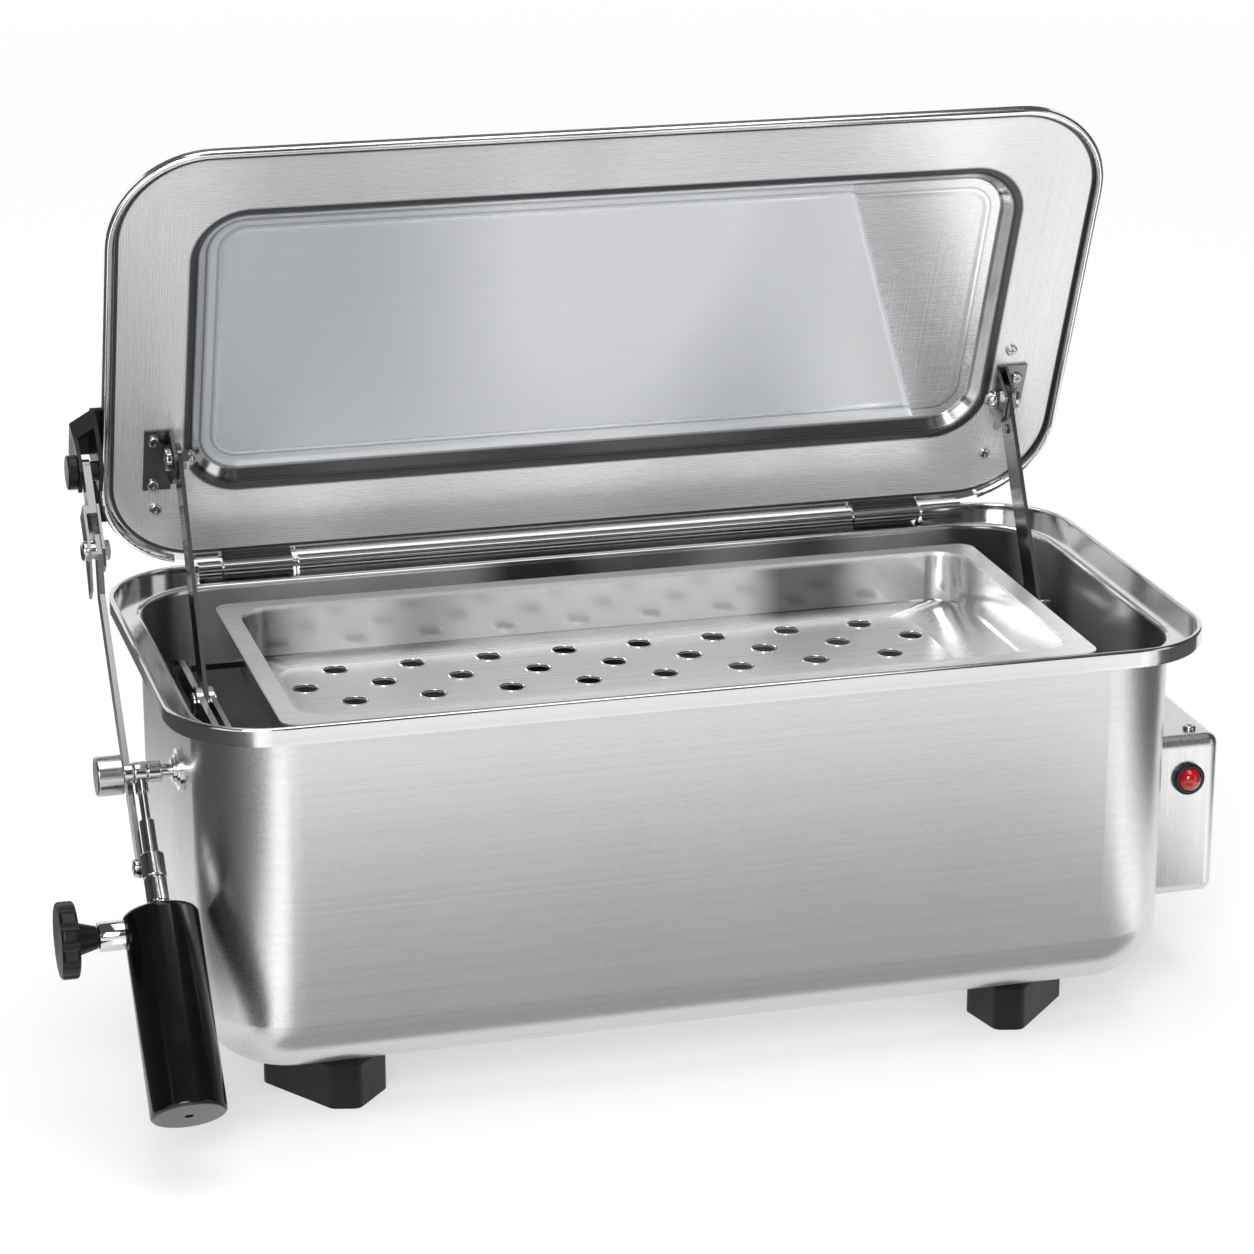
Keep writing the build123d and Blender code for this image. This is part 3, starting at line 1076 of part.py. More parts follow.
def build_pieces():
    """All nodes by name, as shapes or lists of separate solids."""
    bushes, gaskets, nuts = element_collars()
    pieces = {
        "tank_shell": make_tank_shell(),
        "feet": front_and_rear(
            make_foot(LEFT_FOOT, LEFT_FOOT_CENTER), make_foot(RIGHT_FOOT, RIGHT_FOOT_CENTER)
        ),
        "foot_studs": front_and_rear(
            make_foot_stud(LEFT_FOOT_CENTER), make_foot_stud(RIGHT_FOOT_CENTER)
        ),
        "foot_nuts": front_and_rear(
            make_foot_nut(LEFT_FOOT_CENTER), make_foot_nut(RIGHT_FOOT_CENTER)
        ),
        "hinge_barrel_left": make_fixed_barrel(LEFT_END),
        "hinge_barrel_center": make_fixed_barrel(CENTER_TUBE),
        "hinge_barrel_right": make_fixed_barrel(RIGHT_END),
        "hinge_rod": make_hinge_rod(),
        "heating_element": make_heating_element(),
        "element_rest": make_element_rest(),
        "element_bushes": bushes,
        "element_gaskets": gaskets,
        "element_nuts": nuts,
        "box_back_plate": make_box_back_plate(),
        "control_box": make_control_box(),
        "box_screws": make_box_screws(),
        "lamp_bezel": make_lamp_bezel(),
        "lamp_lens": make_lamp_lens(),
        "lamp_body": [make_lamp_body(), make_lamp_nut()],
        "terminal_block": make_terminal_block(),
        "thermal_cutout": make_thermal_cutout(),
        "cord_gland": make_cord_gland(),
        "gland_nut": make_gland_nut(),
        "stud_plate": make_stud_plate(),
        "pivot_stud": make_pivot_stud(),
        "stud_nut": make_stud_nut(),
        "inner_collar": make_collar(INNER_COLLAR),
        "outer_collar": make_collar(OUTER_COLLAR),
        "lock_knob": make_lock_knob(),
        "lid_panel": make_lid_panel(),
        "lid_knuckle_left": make_knuckle(LEFT_KNUCKLE),
        "lid_knuckle_right": make_knuckle(RIGHT_KNUCKLE),
        "strap_bracket_left": make_strap_bracket_left(),
        "strap_bracket_right": make_strap_bracket_right(),
        "backing_plate_right": make_backing_plate_right(),
        "lid_screws": make_lid_screws(),
        "strap_bolts": [make_strap_bolt(-1), make_strap_bolt(1)],
        "strap_nuts": [make_strap_nut(-1), make_strap_nut(1)],
        "knuckle_bracket": make_knuckle_bracket(),
        "thumb_screw": make_thumb_screw(),
        "strap_left": make_strap(-1),
        "strap_right": make_strap(1),
        "strap_pin_left": make_strap_pin(-1),
        "strap_pin_right": [make_strap_pin(1), make_strap_stop()],
        "strap_ring": make_strap_ring(),
        "cradle_end_left": make_cradle_end(-1),
        "cradle_end_right": make_cradle_end(1),
        "cradle_rails": [make_cradle_rail(-1), make_cradle_rail(1)],
        "cradle_cheeks": [make_cradle_cheek(-1), make_cradle_cheek(1)],
        "cradle_pins": [make_cradle_pin(-1), make_cradle_pin(1), make_cheek_pin(-1), make_cheek_pin(1)],
        "tray": make_tray(),
        "swivel_collar": make_swivel_collar(),
        "guide_rod": make_guide_rod(),
        "stay_channel": make_stay_channel(),
        "stay_bar": make_stay_bar(),
        "stay_bolt_set": [make_stay_bolt(), make_stay_spacer(), make_stay_nut(), make_eye_screw()],
        "rod_socket": make_rod_socket(),
        "ferrule": make_ferrule(),
        "cylinder_set": [make_cylinder_tube(), make_cylinder_cap(), make_clamp_collar()],
        "clamp_knob": make_clamp_knob(),
    }
    return pieces


def report_places(shift, box):
    """Joint and mount places in the shared frame, for the record."""
    def place(name, x, y, z):
        print(name, [round((x + shift[0]) / 1000, 5), round((y + shift[1]) / 1000, 5), round(z / 1000, 5)])

    print("box", [round(v, 2) for v in (box.min.X, box.min.Y, box.min.Z, box.max.X, box.max.Y, box.max.Z)])
    print("shift", [round(v, 3) for v in shift])
    place("lid_hinge", 0, HINGE_Y, HINGE_Z)
    place("strap_left", -STRAP_X, *STRAP_OPEN)
    place("strap_right", STRAP_X, *STRAP_OPEN)
    place("stay_swivel", STAY_X, STUD_Y, STUD_Z)
    place("knuckle", FORK_OUTER[0], *KNUCKLE_OPEN)
    clamp_y = STUD_Y + STAY_DIR[0] * CLAMP_ALONG
    clamp_z = STUD_Z + STAY_DIR[1] * CLAMP_ALONG
    place("clamp_knob", STAY_X - 30, clamp_y, clamp_z)
    place("foot", LEFT_FOOT_CENTER[0] + 14, LEFT_FOOT_CENTER[1] + 3, 0)
    print("stay direction", [0, round(STAY_DIR[0], 5), round(STAY_DIR[1], 5)])
    print("strap turn", round(STRAP_TURN, 3), "ratio", round(STRAP_TURN / LID_OPEN, 5))
    print("cradle lift m", round(CRADLE_LIFT / 1000, 5), "ratio",
          round(CRADLE_LIFT / 1000 / math.radians(LID_OPEN), 5))
    print("swivel turn", round(SWIVEL_TURN, 3), "ratio", round(SWIVEL_TURN / LID_OPEN, 5))
    print("stay travel m", round(STAY_TRAVEL / 1000, 5), "ratio",
          round(STAY_TRAVEL / 1000 / math.radians(LID_OPEN), 5))


def main():
    pieces = build_pieces()
    solids = {}
    for name, shape in pieces.items():
        group = shape if isinstance(shape, list) else [shape]
        solids[name] = [solid for item in group for solid in item.solids()]
    box = Compound([s for group in solids.values() for s in group]).bounding_box()
    shift = (-(box.min.X + box.max.X) / 2, -(box.min.Y + box.max.Y) / 2, -box.min.Z)
    os.makedirs("parts", exist_ok=True)
    for name, group in solids.items():
        moved = [Pos(*shift) * s for s in group]
        node = moved[0] if len(moved) == 1 else Compound(moved)
        print(name, len(moved))
        export_step(node, f"parts/{name}.step")
    report_places(shift, box)


if __name__ == "__main__":
    main()
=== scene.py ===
"""Looks for the instrument sterilizer: finishes, tray hole rims, lamp detail, studio and camera."""
import json
import math

import bmesh
import bpy
from bpy.props import FloatProperty, FloatVectorProperty, IntProperty, PointerProperty
from bpy.types import Operator, Panel, PropertyGroup
from mathutils import Euler, Matrix, Vector


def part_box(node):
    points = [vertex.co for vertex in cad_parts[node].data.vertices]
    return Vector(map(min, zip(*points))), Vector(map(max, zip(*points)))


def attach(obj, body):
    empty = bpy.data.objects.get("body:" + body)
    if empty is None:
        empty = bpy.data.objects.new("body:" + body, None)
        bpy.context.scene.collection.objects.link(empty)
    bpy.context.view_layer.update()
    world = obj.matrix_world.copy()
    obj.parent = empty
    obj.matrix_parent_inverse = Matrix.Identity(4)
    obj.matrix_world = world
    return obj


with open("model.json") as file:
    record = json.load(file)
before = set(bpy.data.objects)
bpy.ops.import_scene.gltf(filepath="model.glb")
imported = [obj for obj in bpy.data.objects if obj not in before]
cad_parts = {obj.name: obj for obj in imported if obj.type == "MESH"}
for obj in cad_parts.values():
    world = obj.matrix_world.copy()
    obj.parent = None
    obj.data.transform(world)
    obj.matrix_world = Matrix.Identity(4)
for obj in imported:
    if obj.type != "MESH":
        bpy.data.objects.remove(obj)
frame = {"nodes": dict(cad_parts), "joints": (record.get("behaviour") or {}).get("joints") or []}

bl_info = {
    "name": "Instrument sterilizer looks",
    "version": (1, 0, 0),
    "blender": (4, 5, 0),
    "location": "3D View > Sidebar > Sterilizer",
    "description": "Finishes, small details, studio and camera for a boiling sterilizer",
    "category": "Object",
}

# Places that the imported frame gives
NODES = frame["nodes"]
HINGE = Vector(next(j["pos_m"] for j in frame["joints"] if j["name"] == "lid_hinge"))
LID_OPEN = math.radians(69.1)
TANK_LOW, TANK_HIGH = (Vector(c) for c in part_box("tank_shell"))
TRAY_LOW, TRAY_HIGH = (Vector(c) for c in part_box("tray"))
TANK_MIDDLE = (TANK_LOW + TANK_HIGH) / 2
TANK_WALL = (0.227, 0.108, 0.041)
TANK_BEND = 0.028
RECESS_HALF = (0.1975, 0.076)
RECESS_CORNER = 0.025
RECESS_FROM_HINGE = 0.121
LID_HALF = (0.2385, 0.11525)
LID_CORNER = 0.048
LID_FROM_HINGE = 0.11725

# Edges of the regions that one finish tells apart
RIM_BEAD = 0.0088
SKIN_DEPTH = 0.0008
LID_RISE = (0.0062, 0.0072)
LID_TOP = (0.0103, 0.0112)
LID_EDGE_STRIP = 0.0040
MITRE_BLUR = 0.004
# Places, half widths and shares of the painted dark reflection lines round the recess and along the
# lid's edge
RECESS_DARK_LINE = (0.0004, 0.0030)
EDGE_DARK_LINE = (-0.0050, 0.0012)
RECESS_THIN_DARK_LINES = ((-0.0062, 0.0008, 0.6), (-0.0118, 0.0007, 0.4))
RECESS_BEAD = 0.0135
RECESS_BEAD_HALF = 0.0022
RECESS_BEAD_HEIGHT = 60.0
TRAY_WALL_FOOT = (0.002, 0.006)
TRAY_WALL_HEAD = (0.003, 0.001)
LIP_SHIFT = (-0.0045, -0.0005, 0.001)

# Chrome skin of the clamp collar: places along the collar with their radii
COLLAR_SECTION = ((0.0, 0.0034), (0.0, 0.0060), (0.0007, 0.00665), (0.0115, 0.00665))
COLLAR_LIFT = 0.00015
COLLAR_SIDES = 48

# Darkest and lightest tones of the painted sheen on the lid and of the painted reflection bands on the
# tank's inside and the tray's walls
FLANGE_SHEEN_TONES = ((0.74, 0.745, 0.75), (0.98, 0.98, 0.985))
RECESS_SHEEN_TONES = ((0.56, 0.58, 0.61), (0.97, 0.985, 1.0))
INSIDE_REFLECTION_TONES = ((0.12, 0.122, 0.126), (0.85, 0.86, 0.87))
TRAY_WALL_REFLECTION_TONES = ((0.22, 0.225, 0.23), (0.97, 0.975, 0.98))
# Colour of the painted dark reflection lines on the lid
PAINTED_DARK_LINE_COLOR = (0.07, 0.07, 0.075)
GRAIN_ALONG_X = (3.0, 2600.0, 2600.0)
GRAIN_ALONG_Y = (2600.0, 3.0, 2600.0)

# Camera that was fitted to the photo
CAMERA_PLACE = (-0.470685, -1.661727, 0.766811)
CAMERA_TURN = (71.55765, -0.13064, -15.6121)
SENSOR = 36.0
FOCAL_PIXELS = 3964.874
PHOTO_PIXELS = 1254.0


# Sizes and colours
class SteelSizes(PropertyGroup):
    """Stainless steel of the tank, the lid and the box"""
    color: FloatVectorProperty(
        name="Steel colour", description="Base colour of the stainless steel", subtype="COLOR",
        size=3, default=(0.70, 0.705, 0.71), min=0.0, max=1.0)
    roughness: FloatProperty(
        name="Brushed roughness", description="Mean roughness of the brushed faces", default=0.27,
        min=0.02, max=1.0)
    polish: FloatProperty(
        name="Polished roughness", description="Roughness of polished beads and rims", default=0.13,
        min=0.0, max=1.0)
    grain_depth: FloatProperty(
        name="Grain depth", description="Depth of the brushed lines", default=0.000006,
        min=0.0, max=0.001, subtype="DISTANCE", unit="LENGTH")


class RimSizes(PropertyGroup):
    """Rolled lips of the tray's holes"""
    hole_radius: FloatProperty(
        name="Hole radius", description="Radius of a hole in the tray floor", default=0.006,
        min=0.001, max=0.02, subtype="DISTANCE", unit="LENGTH")
    wire: FloatProperty(
        name="Lip", description="Half thickness of the rolled lip at a hole", default=0.00045,
        min=0.0001, max=0.002, subtype="DISTANCE", unit="LENGTH")
    pitch: FloatProperty(
        name="Hole pitch", description="Distance between holes in a row", default=0.0374,
        min=0.01, max=0.1, subtype="DISTANCE", unit="LENGTH")
    row_pitch: FloatProperty(
        name="Row pitch", description="Distance between rows of holes", default=0.0228,
        min=0.01, max=0.1, subtype="DISTANCE", unit="LENGTH")
    rows: IntProperty(
        name="Rows", description="Rows of holes across the tray", default=7, min=1, max=20)
    long_row: IntProperty(
        name="Holes in a long row", description="Holes in every second row", default=9, min=2, max=30)


class LampSizes(PropertyGroup):
    """Lens of the pilot lamp"""
    lens: FloatVectorProperty(
        name="Lens colour", description="Colour of the pilot lamp", subtype="COLOR", size=3,
        default=(0.62, 0.004, 0.008), min=0.0, max=1.0)
    ribs: IntProperty(
        name="Lens ribs", description="Moulded ribs inside the lens", default=24, min=6, max=60)


class StudioSizes(PropertyGroup):
    """Floor and lights"""
    floor_color: FloatVectorProperty(
        name="Floor colour", description="Colour of the pale floor", subtype="COLOR", size=3,
        default=(0.54, 0.54, 0.544), min=0.0, max=1.0)
    key_power: FloatProperty(
        name="Key light", description="Power of the front light", default=40.0, min=0.0,
        unit="POWER")
    top_power: FloatProperty(
        name="Top light", description="Power of the overhead light", default=22.0, min=0.0,
        unit="POWER")


# Shader helpers
def new_group(name, inputs, outputs):
    """Empty shader group with float or vector sockets."""
    group = bpy.data.node_groups.new(name, "ShaderNodeTree")
    for label, kind, value in inputs:
        socket = group.interface.new_socket(label, in_out="INPUT", socket_type=kind)
        if value is not None:
            socket.default_value = value
    for label, kind in outputs:
        group.interface.new_socket(label, in_out="OUTPUT", socket_type=kind)
    return group, group.nodes.new("NodeGroupInput"), group.nodes.new("NodeGroupOutput")


def math_node(tree, operation, a, b=None):
    """Result of one sum on sockets or numbers."""
    node = tree.nodes.new("ShaderNodeMath")
    node.operation = operation
    for socket, value in zip(node.inputs, (a, b)):
        if value is None:
            continue
        if isinstance(value, (int, float)):
            socket.default_value = value
        else:
            tree.links.new(value, socket)
    return node.outputs[0]


def spread(tree, value, low, high, out_low, out_high):
    """Value taken from one range to another, held at its ends."""
    node = tree.nodes.new("ShaderNodeMapRange")
    tree.links.new(value, node.inputs["Value"])
    node.inputs["From Min"].default_value = low
    node.inputs["From Max"].default_value = high
    node.inputs["To Min"].default_value = out_low
    node.inputs["To Max"].default_value = out_high
    return node.outputs["Result"]


def scaled(tree, vector, scale):
    """Vector multiplied part by part, by numbers or by another vector."""
    node = tree.nodes.new("ShaderNodeVectorMath")
    node.operation = "MULTIPLY"
    tree.links.new(vector, node.inputs[0])
    if isinstance(scale, tuple):
        node.inputs[1].default_value = scale
    else:
        tree.links.new(scale, node.inputs[1])
    return node.outputs[0]


def split_vector(tree, vector):
    """Sockets X, Y and Z of a vector."""
    node = tree.nodes.new("ShaderNodeSeparateXYZ")
    tree.links.new(vector, node.inputs[0])
    return node.outputs


def noise(tree, vector, scale, detail=2.0, roughness=0.5):
    """Smooth noise between 0 and 1."""
    node = tree.nodes.new("ShaderNodeTexNoise")
    node.inputs["Scale"].default_value = scale
    node.inputs["Detail"].default_value = detail
    node.inputs["Roughness"].default_value = roughness
    tree.links.new(vector, node.inputs["Vector"])
    return node.outputs["Fac"]


def mix_values(tree, factor, a, b):
    """Value a where the factor is 0, and b where it is 1."""
    node = tree.nodes.new("ShaderNodeMix")
    node.data_type = "FLOAT"
    for socket, value in ((node.inputs[0], factor), (node.inputs[2], a), (node.inputs[3], b)):
        if isinstance(value, (int, float)):
            socket.default_value = value
        else:
            tree.links.new(value, socket)
    return node.outputs[0]


def mix_colors(tree, factor, a, b):
    """Colour a where the factor is 0, and b where it is 1."""
    node = tree.nodes.new("ShaderNodeMix")
    node.data_type = "RGBA"
    for socket, value in ((node.inputs[0], factor), (node.inputs[6], a), (node.inputs[7], b)):
        if isinstance(value, (int, float)):
            socket.default_value = value
        elif isinstance(value, tuple):
            socket.default_value = (*value[:3], 1.0)
        else:
            tree.links.new(value, socket)
    return node.outputs[2]


def make_grain_group():
    """Fine drawn lines, with the lines' direction given by the stretch of each axis."""
    group, start, end = new_group(
        "Brushed grain",
        [("Vector", "NodeSocketVector", None), ("Stretch", "NodeSocketVector", (8.0, 900.0, 900.0))],
        [("Lines", "NodeSocketFloat"), ("Bands", "NodeSocketFloat")])
    stretched = scaled(group, start.outputs["Vector"], start.outputs["Stretch"])
    fine = noise(group, stretched, 1.0, 3.0, 0.6)
    broad = noise(group, scaled(group, stretched, (0.14, 0.14, 0.14)), 1.0, 2.0, 0.5)
    group.links.new(fine, end.inputs["Lines"])
    group.links.new(broad, end.inputs["Bands"])
    return group


def make_wear_group():
    """Cloudy handling marks and fine specks."""
    group, start, end = new_group(
        "Handling marks",
        [("Vector", "NodeSocketVector", None), ("Size", "NodeSocketFloat", 9.0)],
        [("Cloud", "NodeSocketFloat"), ("Specks", "NodeSocketFloat")])
    sized = group.nodes.new("ShaderNodeVectorMath")
    sized.operation = "SCALE"
    group.links.new(start.outputs["Vector"], sized.inputs[0])
    group.links.new(start.outputs["Size"], sized.inputs["Scale"])
    cloud = noise(group, sized.outputs[0], 1.0, 4.0, 0.55)
    specks = noise(group, sized.outputs[0], 60.0, 2.0, 0.7)
    group.links.new(spread(group, cloud, 0.35, 0.7, 0.0, 1.0), end.inputs["Cloud"])
    group.links.new(spread(group, specks, 0.62, 0.8, 0.0, 1.0), end.inputs["Specks"])
    return group


def make_reflection_band_group():
    """Wide soft bands of painted reflection, standing for the uneven reflections on glossy pressed
    sheet.
    """
    group, start, end = new_group(
        "Painted reflection bands",
        [("Vector", "NodeSocketVector", None), ("Stretch", "NodeSocketVector", (15.0, 9.0, 2.0))],
        [("Bands", "NodeSocketFloat")])
    wide = noise(group, scaled(group, start.outputs["Vector"], start.outputs["Stretch"]), 1.0, 0.0)
    group.links.new(spread(group, wide, 0.42, 0.60, 0.0, 1.0), end.inputs["Bands"])
    return group


def painted_reflection_bands(tree, vector, stretch):
    """Painted reflection bands of one piece, with its own stretch."""
    node = group_node(tree, shared_group("Painted reflection bands", make_reflection_band_group), vector)
    node.inputs["Stretch"].default_value = stretch
    return node.outputs["Bands"]


def group_node(tree, group, vector):
    """Shader group placed in a material and fed with its vector."""
    node = tree.nodes.new("ShaderNodeGroup")
    node.node_tree = group
    tree.links.new(vector, node.inputs["Vector"])
    return node


def new_material(name, color, roughness, metallic=0.0):
    """Principled material with object coordinates through a Mapping node."""
    material = bpy.data.materials.new(name)
    material.use_nodes = True
    tree = material.node_tree
    shader = tree.nodes["Principled BSDF"]
    shader.inputs["Base Color"].default_value = (*color[:3], 1.0)
    shader.inputs["Roughness"].default_value = roughness
    shader.inputs["Metallic"].default_value = metallic
    coords = tree.nodes.new("ShaderNodeTexCoord")
    place = tree.nodes.new("ShaderNodeMapping")
    place.vector_type = "POINT"
    tree.links.new(coords.outputs["Object"], place.inputs["Vector"])
    return material, tree, shader, place


def bump(tree, shader, height, distance, strength=1.0):
    """Relief of a given depth on the shader's normal."""
    node = tree.nodes.new("ShaderNodeBump")
    node.inputs["Distance"].default_value = distance
    node.inputs["Strength"].default_value = strength
    tree.links.new(height, node.inputs["Height"])
    tree.links.new(node.outputs["Normal"], shader.inputs["Normal"])


def dress(material, *names):
    """Give one material to CAD nodes."""
    for name in names:
        mesh = NODES[name].data
        mesh.materials.clear()
        mesh.materials.append(material)


def shared_group(name, maker):
    """Shader group that is built at its first use."""
    return bpy.data.node_groups.get(name) or maker()


def source_of(shader, label):
    """Socket that feeds an input of the shader."""
    return shader.inputs[label].links[0].from_socket


def brushed_steel(name, color, roughness, depth, stretch, turn=0.0, about=None, wear=0.05):
    """Metal with drawn lines along the least stretched axis."""
    material, tree, shader, place = new_material(name, color, roughness, 1.0)
    if about is not None:
        back = Matrix.Rotation(turn, 3, "X") @ Vector(about)
        place.inputs["Rotation"].default_value = (turn, 0.0, 0.0)
        place.inputs["Location"].default_value = -back
    vector = place.outputs["Vector"]
    grain = group_node(tree, shared_group("Brushed grain", make_grain_group), vector)
    grain.inputs["Stretch"].default_value = stretch
    marks = group_node(tree, shared_group("Handling marks", make_wear_group), vector)
    lines = grain.outputs["Lines"]
    rough = spread(tree, lines, 0.25, 0.75, roughness * 0.82, roughness * 1.2)
    rough = math_node(tree, "ADD", rough, math_node(tree, "MULTIPLY", marks.outputs["Cloud"], wear))
    tree.links.new(rough, shader.inputs["Roughness"])
    darker = tuple(c * 0.93 for c in color[:3])
    bands = spread(tree, grain.outputs["Bands"], 0.3, 0.7, 0.0, 1.0)
    shade = mix_colors(tree, bands, darker, tuple(color[:3]))
    tree.links.new(shade, shader.inputs["Base Color"])
    bump(tree, shader, lines, depth)
    return material, tree, shader, vector


def polished_steel(name, color, roughness, wear=0.04):
    """Smooth metal with faint handling marks."""
    material, tree, shader, place = new_material(name, color, roughness, 1.0)
    marks = group_node(tree, shared_group("Handling marks", make_wear_group), place.outputs["Vector"])
    marks.inputs["Size"].default_value = 26.0
    rough = spread(tree, marks.outputs["Cloud"], 0.0, 1.0, roughness, roughness + wear)
    tree.links.new(rough, shader.inputs["Roughness"])
    bump(tree, shader, marks.outputs["Cloud"], 0.00003)
    return material


def black_finish(name, color, roughness, coat, texture):
    """Black moulding or enamel with a fine surface texture."""
    material, tree, shader, place = new_material(name, color, roughness)
    marks = group_node(tree, shared_group("Handling marks", make_wear_group), place.outputs["Vector"])
    marks.inputs["Size"].default_value = 40.0
    tree.links.new(
        spread(tree, marks.outputs["Cloud"], 0.0, 1.0, roughness, min(1.0, roughness + 0.12)),
        shader.inputs["Roughness"])
    lighter = tuple(c * 1.7 for c in color[:3])
    tone = mix_colors(tree, marks.outputs["Specks"], tuple(color[:3]), lighter)
    tree.links.new(tone, shader.inputs["Base Color"])
    shader.inputs["Specular IOR Level"].default_value = 0.28
    shader.inputs["Coat Weight"].default_value = coat
    shader.inputs["Coat Roughness"].default_value = 0.06
    bump(tree, shader, noise(tree, place.outputs["Vector"], 900.0, 2.0), texture)
    return material


def outline_distance(tree, x, y, half_x, half_y, corner):
    """Distance from a rounded rectangle, negative within it."""
    over = [math_node(tree, "SUBTRACT", math_node(tree, "ABSOLUTE", value), half - corner)
            for value, half in ((x, half_x), (y, half_y))]
    past = [math_node(tree, "MAXIMUM", value, 0.0) for value in over]
    return math_node(
        tree, "SUBTRACT",
        math_node(tree, "ADD", length_of(tree, *past),
                  math_node(tree, "MINIMUM", math_node(tree, "MAXIMUM", *over), 0.0)), corner)


def line_at(tree, distance, place, half_width):
    """One on a soft line at a distance, zero beside it."""
    off = math_node(tree, "ABSOLUTE", math_node(tree, "SUBTRACT", distance, place))
    return spread(tree, off, half_width * 0.6, half_width, 1.0, 0.0)


def length_of(tree, a, b):
    """Length of a flat vector from its two parts."""
    join = tree.nodes.new("ShaderNodeCombineXYZ")
    tree.links.new(a, join.inputs["X"])
    tree.links.new(b, join.inputs["Y"])
    length = tree.nodes.new("ShaderNodeVectorMath")
    length.operation = "LENGTH"
    tree.links.new(join.outputs[0], length.inputs[0])
    return length.outputs["Value"]


def tank_inside(tree, split):
    """One on the inside face of the tank, whose floor meets its walls in a wide bend."""
    plan = outline_distance(tree, split["X"], split["Y"], *TANK_WALL)
    side = math_node(tree, "MAXIMUM", math_node(tree, "ADD", plan, TANK_BEND), 0.0)
    below_bend = math_node(tree, "SUBTRACT", TANK_LOW.z + TANK_BEND, split["Z"])
    down = math_node(tree, "MAXIMUM", below_bend, 0.0)
    skin = math_node(tree, "SUBTRACT", length_of(tree, side, down), TANK_BEND)
    return math_node(tree, "LESS_THAN", skin, -SKIN_DEPTH)


# Pieces
class STERILIZER_OT_tank_finish(Operator):
    """Brushed tank with a polished rim and a glossy inside whose colour carries painted reflection
    bands
    """
    bl_idname = "sterilizer.tank_finish"
    bl_label = "Tank finish"

    def execute(self, context):
        steel = context.scene.sterilizer_steel
        material, tree, shader, vector = brushed_steel(
            "tank brushed steel", tuple(steel.color), steel.roughness, steel.grain_depth, GRAIN_ALONG_X)
        middle = tree.nodes.new("ShaderNodeVectorMath")
        middle.operation = "SUBTRACT"
        middle.inputs[1].default_value = (TANK_MIDDLE.x, TANK_MIDDLE.y, 0.0)
        tree.links.new(vector, middle.inputs[0])
        split = split_vector(tree, middle.outputs[0])
        inside = tank_inside(tree, split)
        rim = math_node(tree, "GREATER_THAN", split["Z"], TANK_HIGH.z - RIM_BEAD)
        rough = mix_values(tree, rim, source_of(shader, "Roughness"), steel.polish)
        tree.links.new(mix_values(tree, inside, rough, 0.2), shader.inputs["Roughness"])
        tree.links.new(mix_values(tree, inside, 1.0, 0.8), shader.inputs["Metallic"])
        relief = source_of(shader, "Normal").node
        smooth = math_node(tree, "MAXIMUM", inside, rim)
        tree.links.new(mix_values(tree, smooth, 1.0, 0.12), relief.inputs["Strength"])
        # Painted reflections on the tank's inside: dark and bright soft bands in its colour
        inside_reflection = mix_colors(tree, painted_reflection_bands(tree, vector, (14.0, 22.0, 5.0)), *INSIDE_REFLECTION_TONES)
        tone = mix_colors(tree, inside, source_of(shader, "Base Color"), inside_reflection)
        tree.links.new(tone, shader.inputs["Base Color"])
        dress(material, "tank_shell")
        return {"FINISHED"}


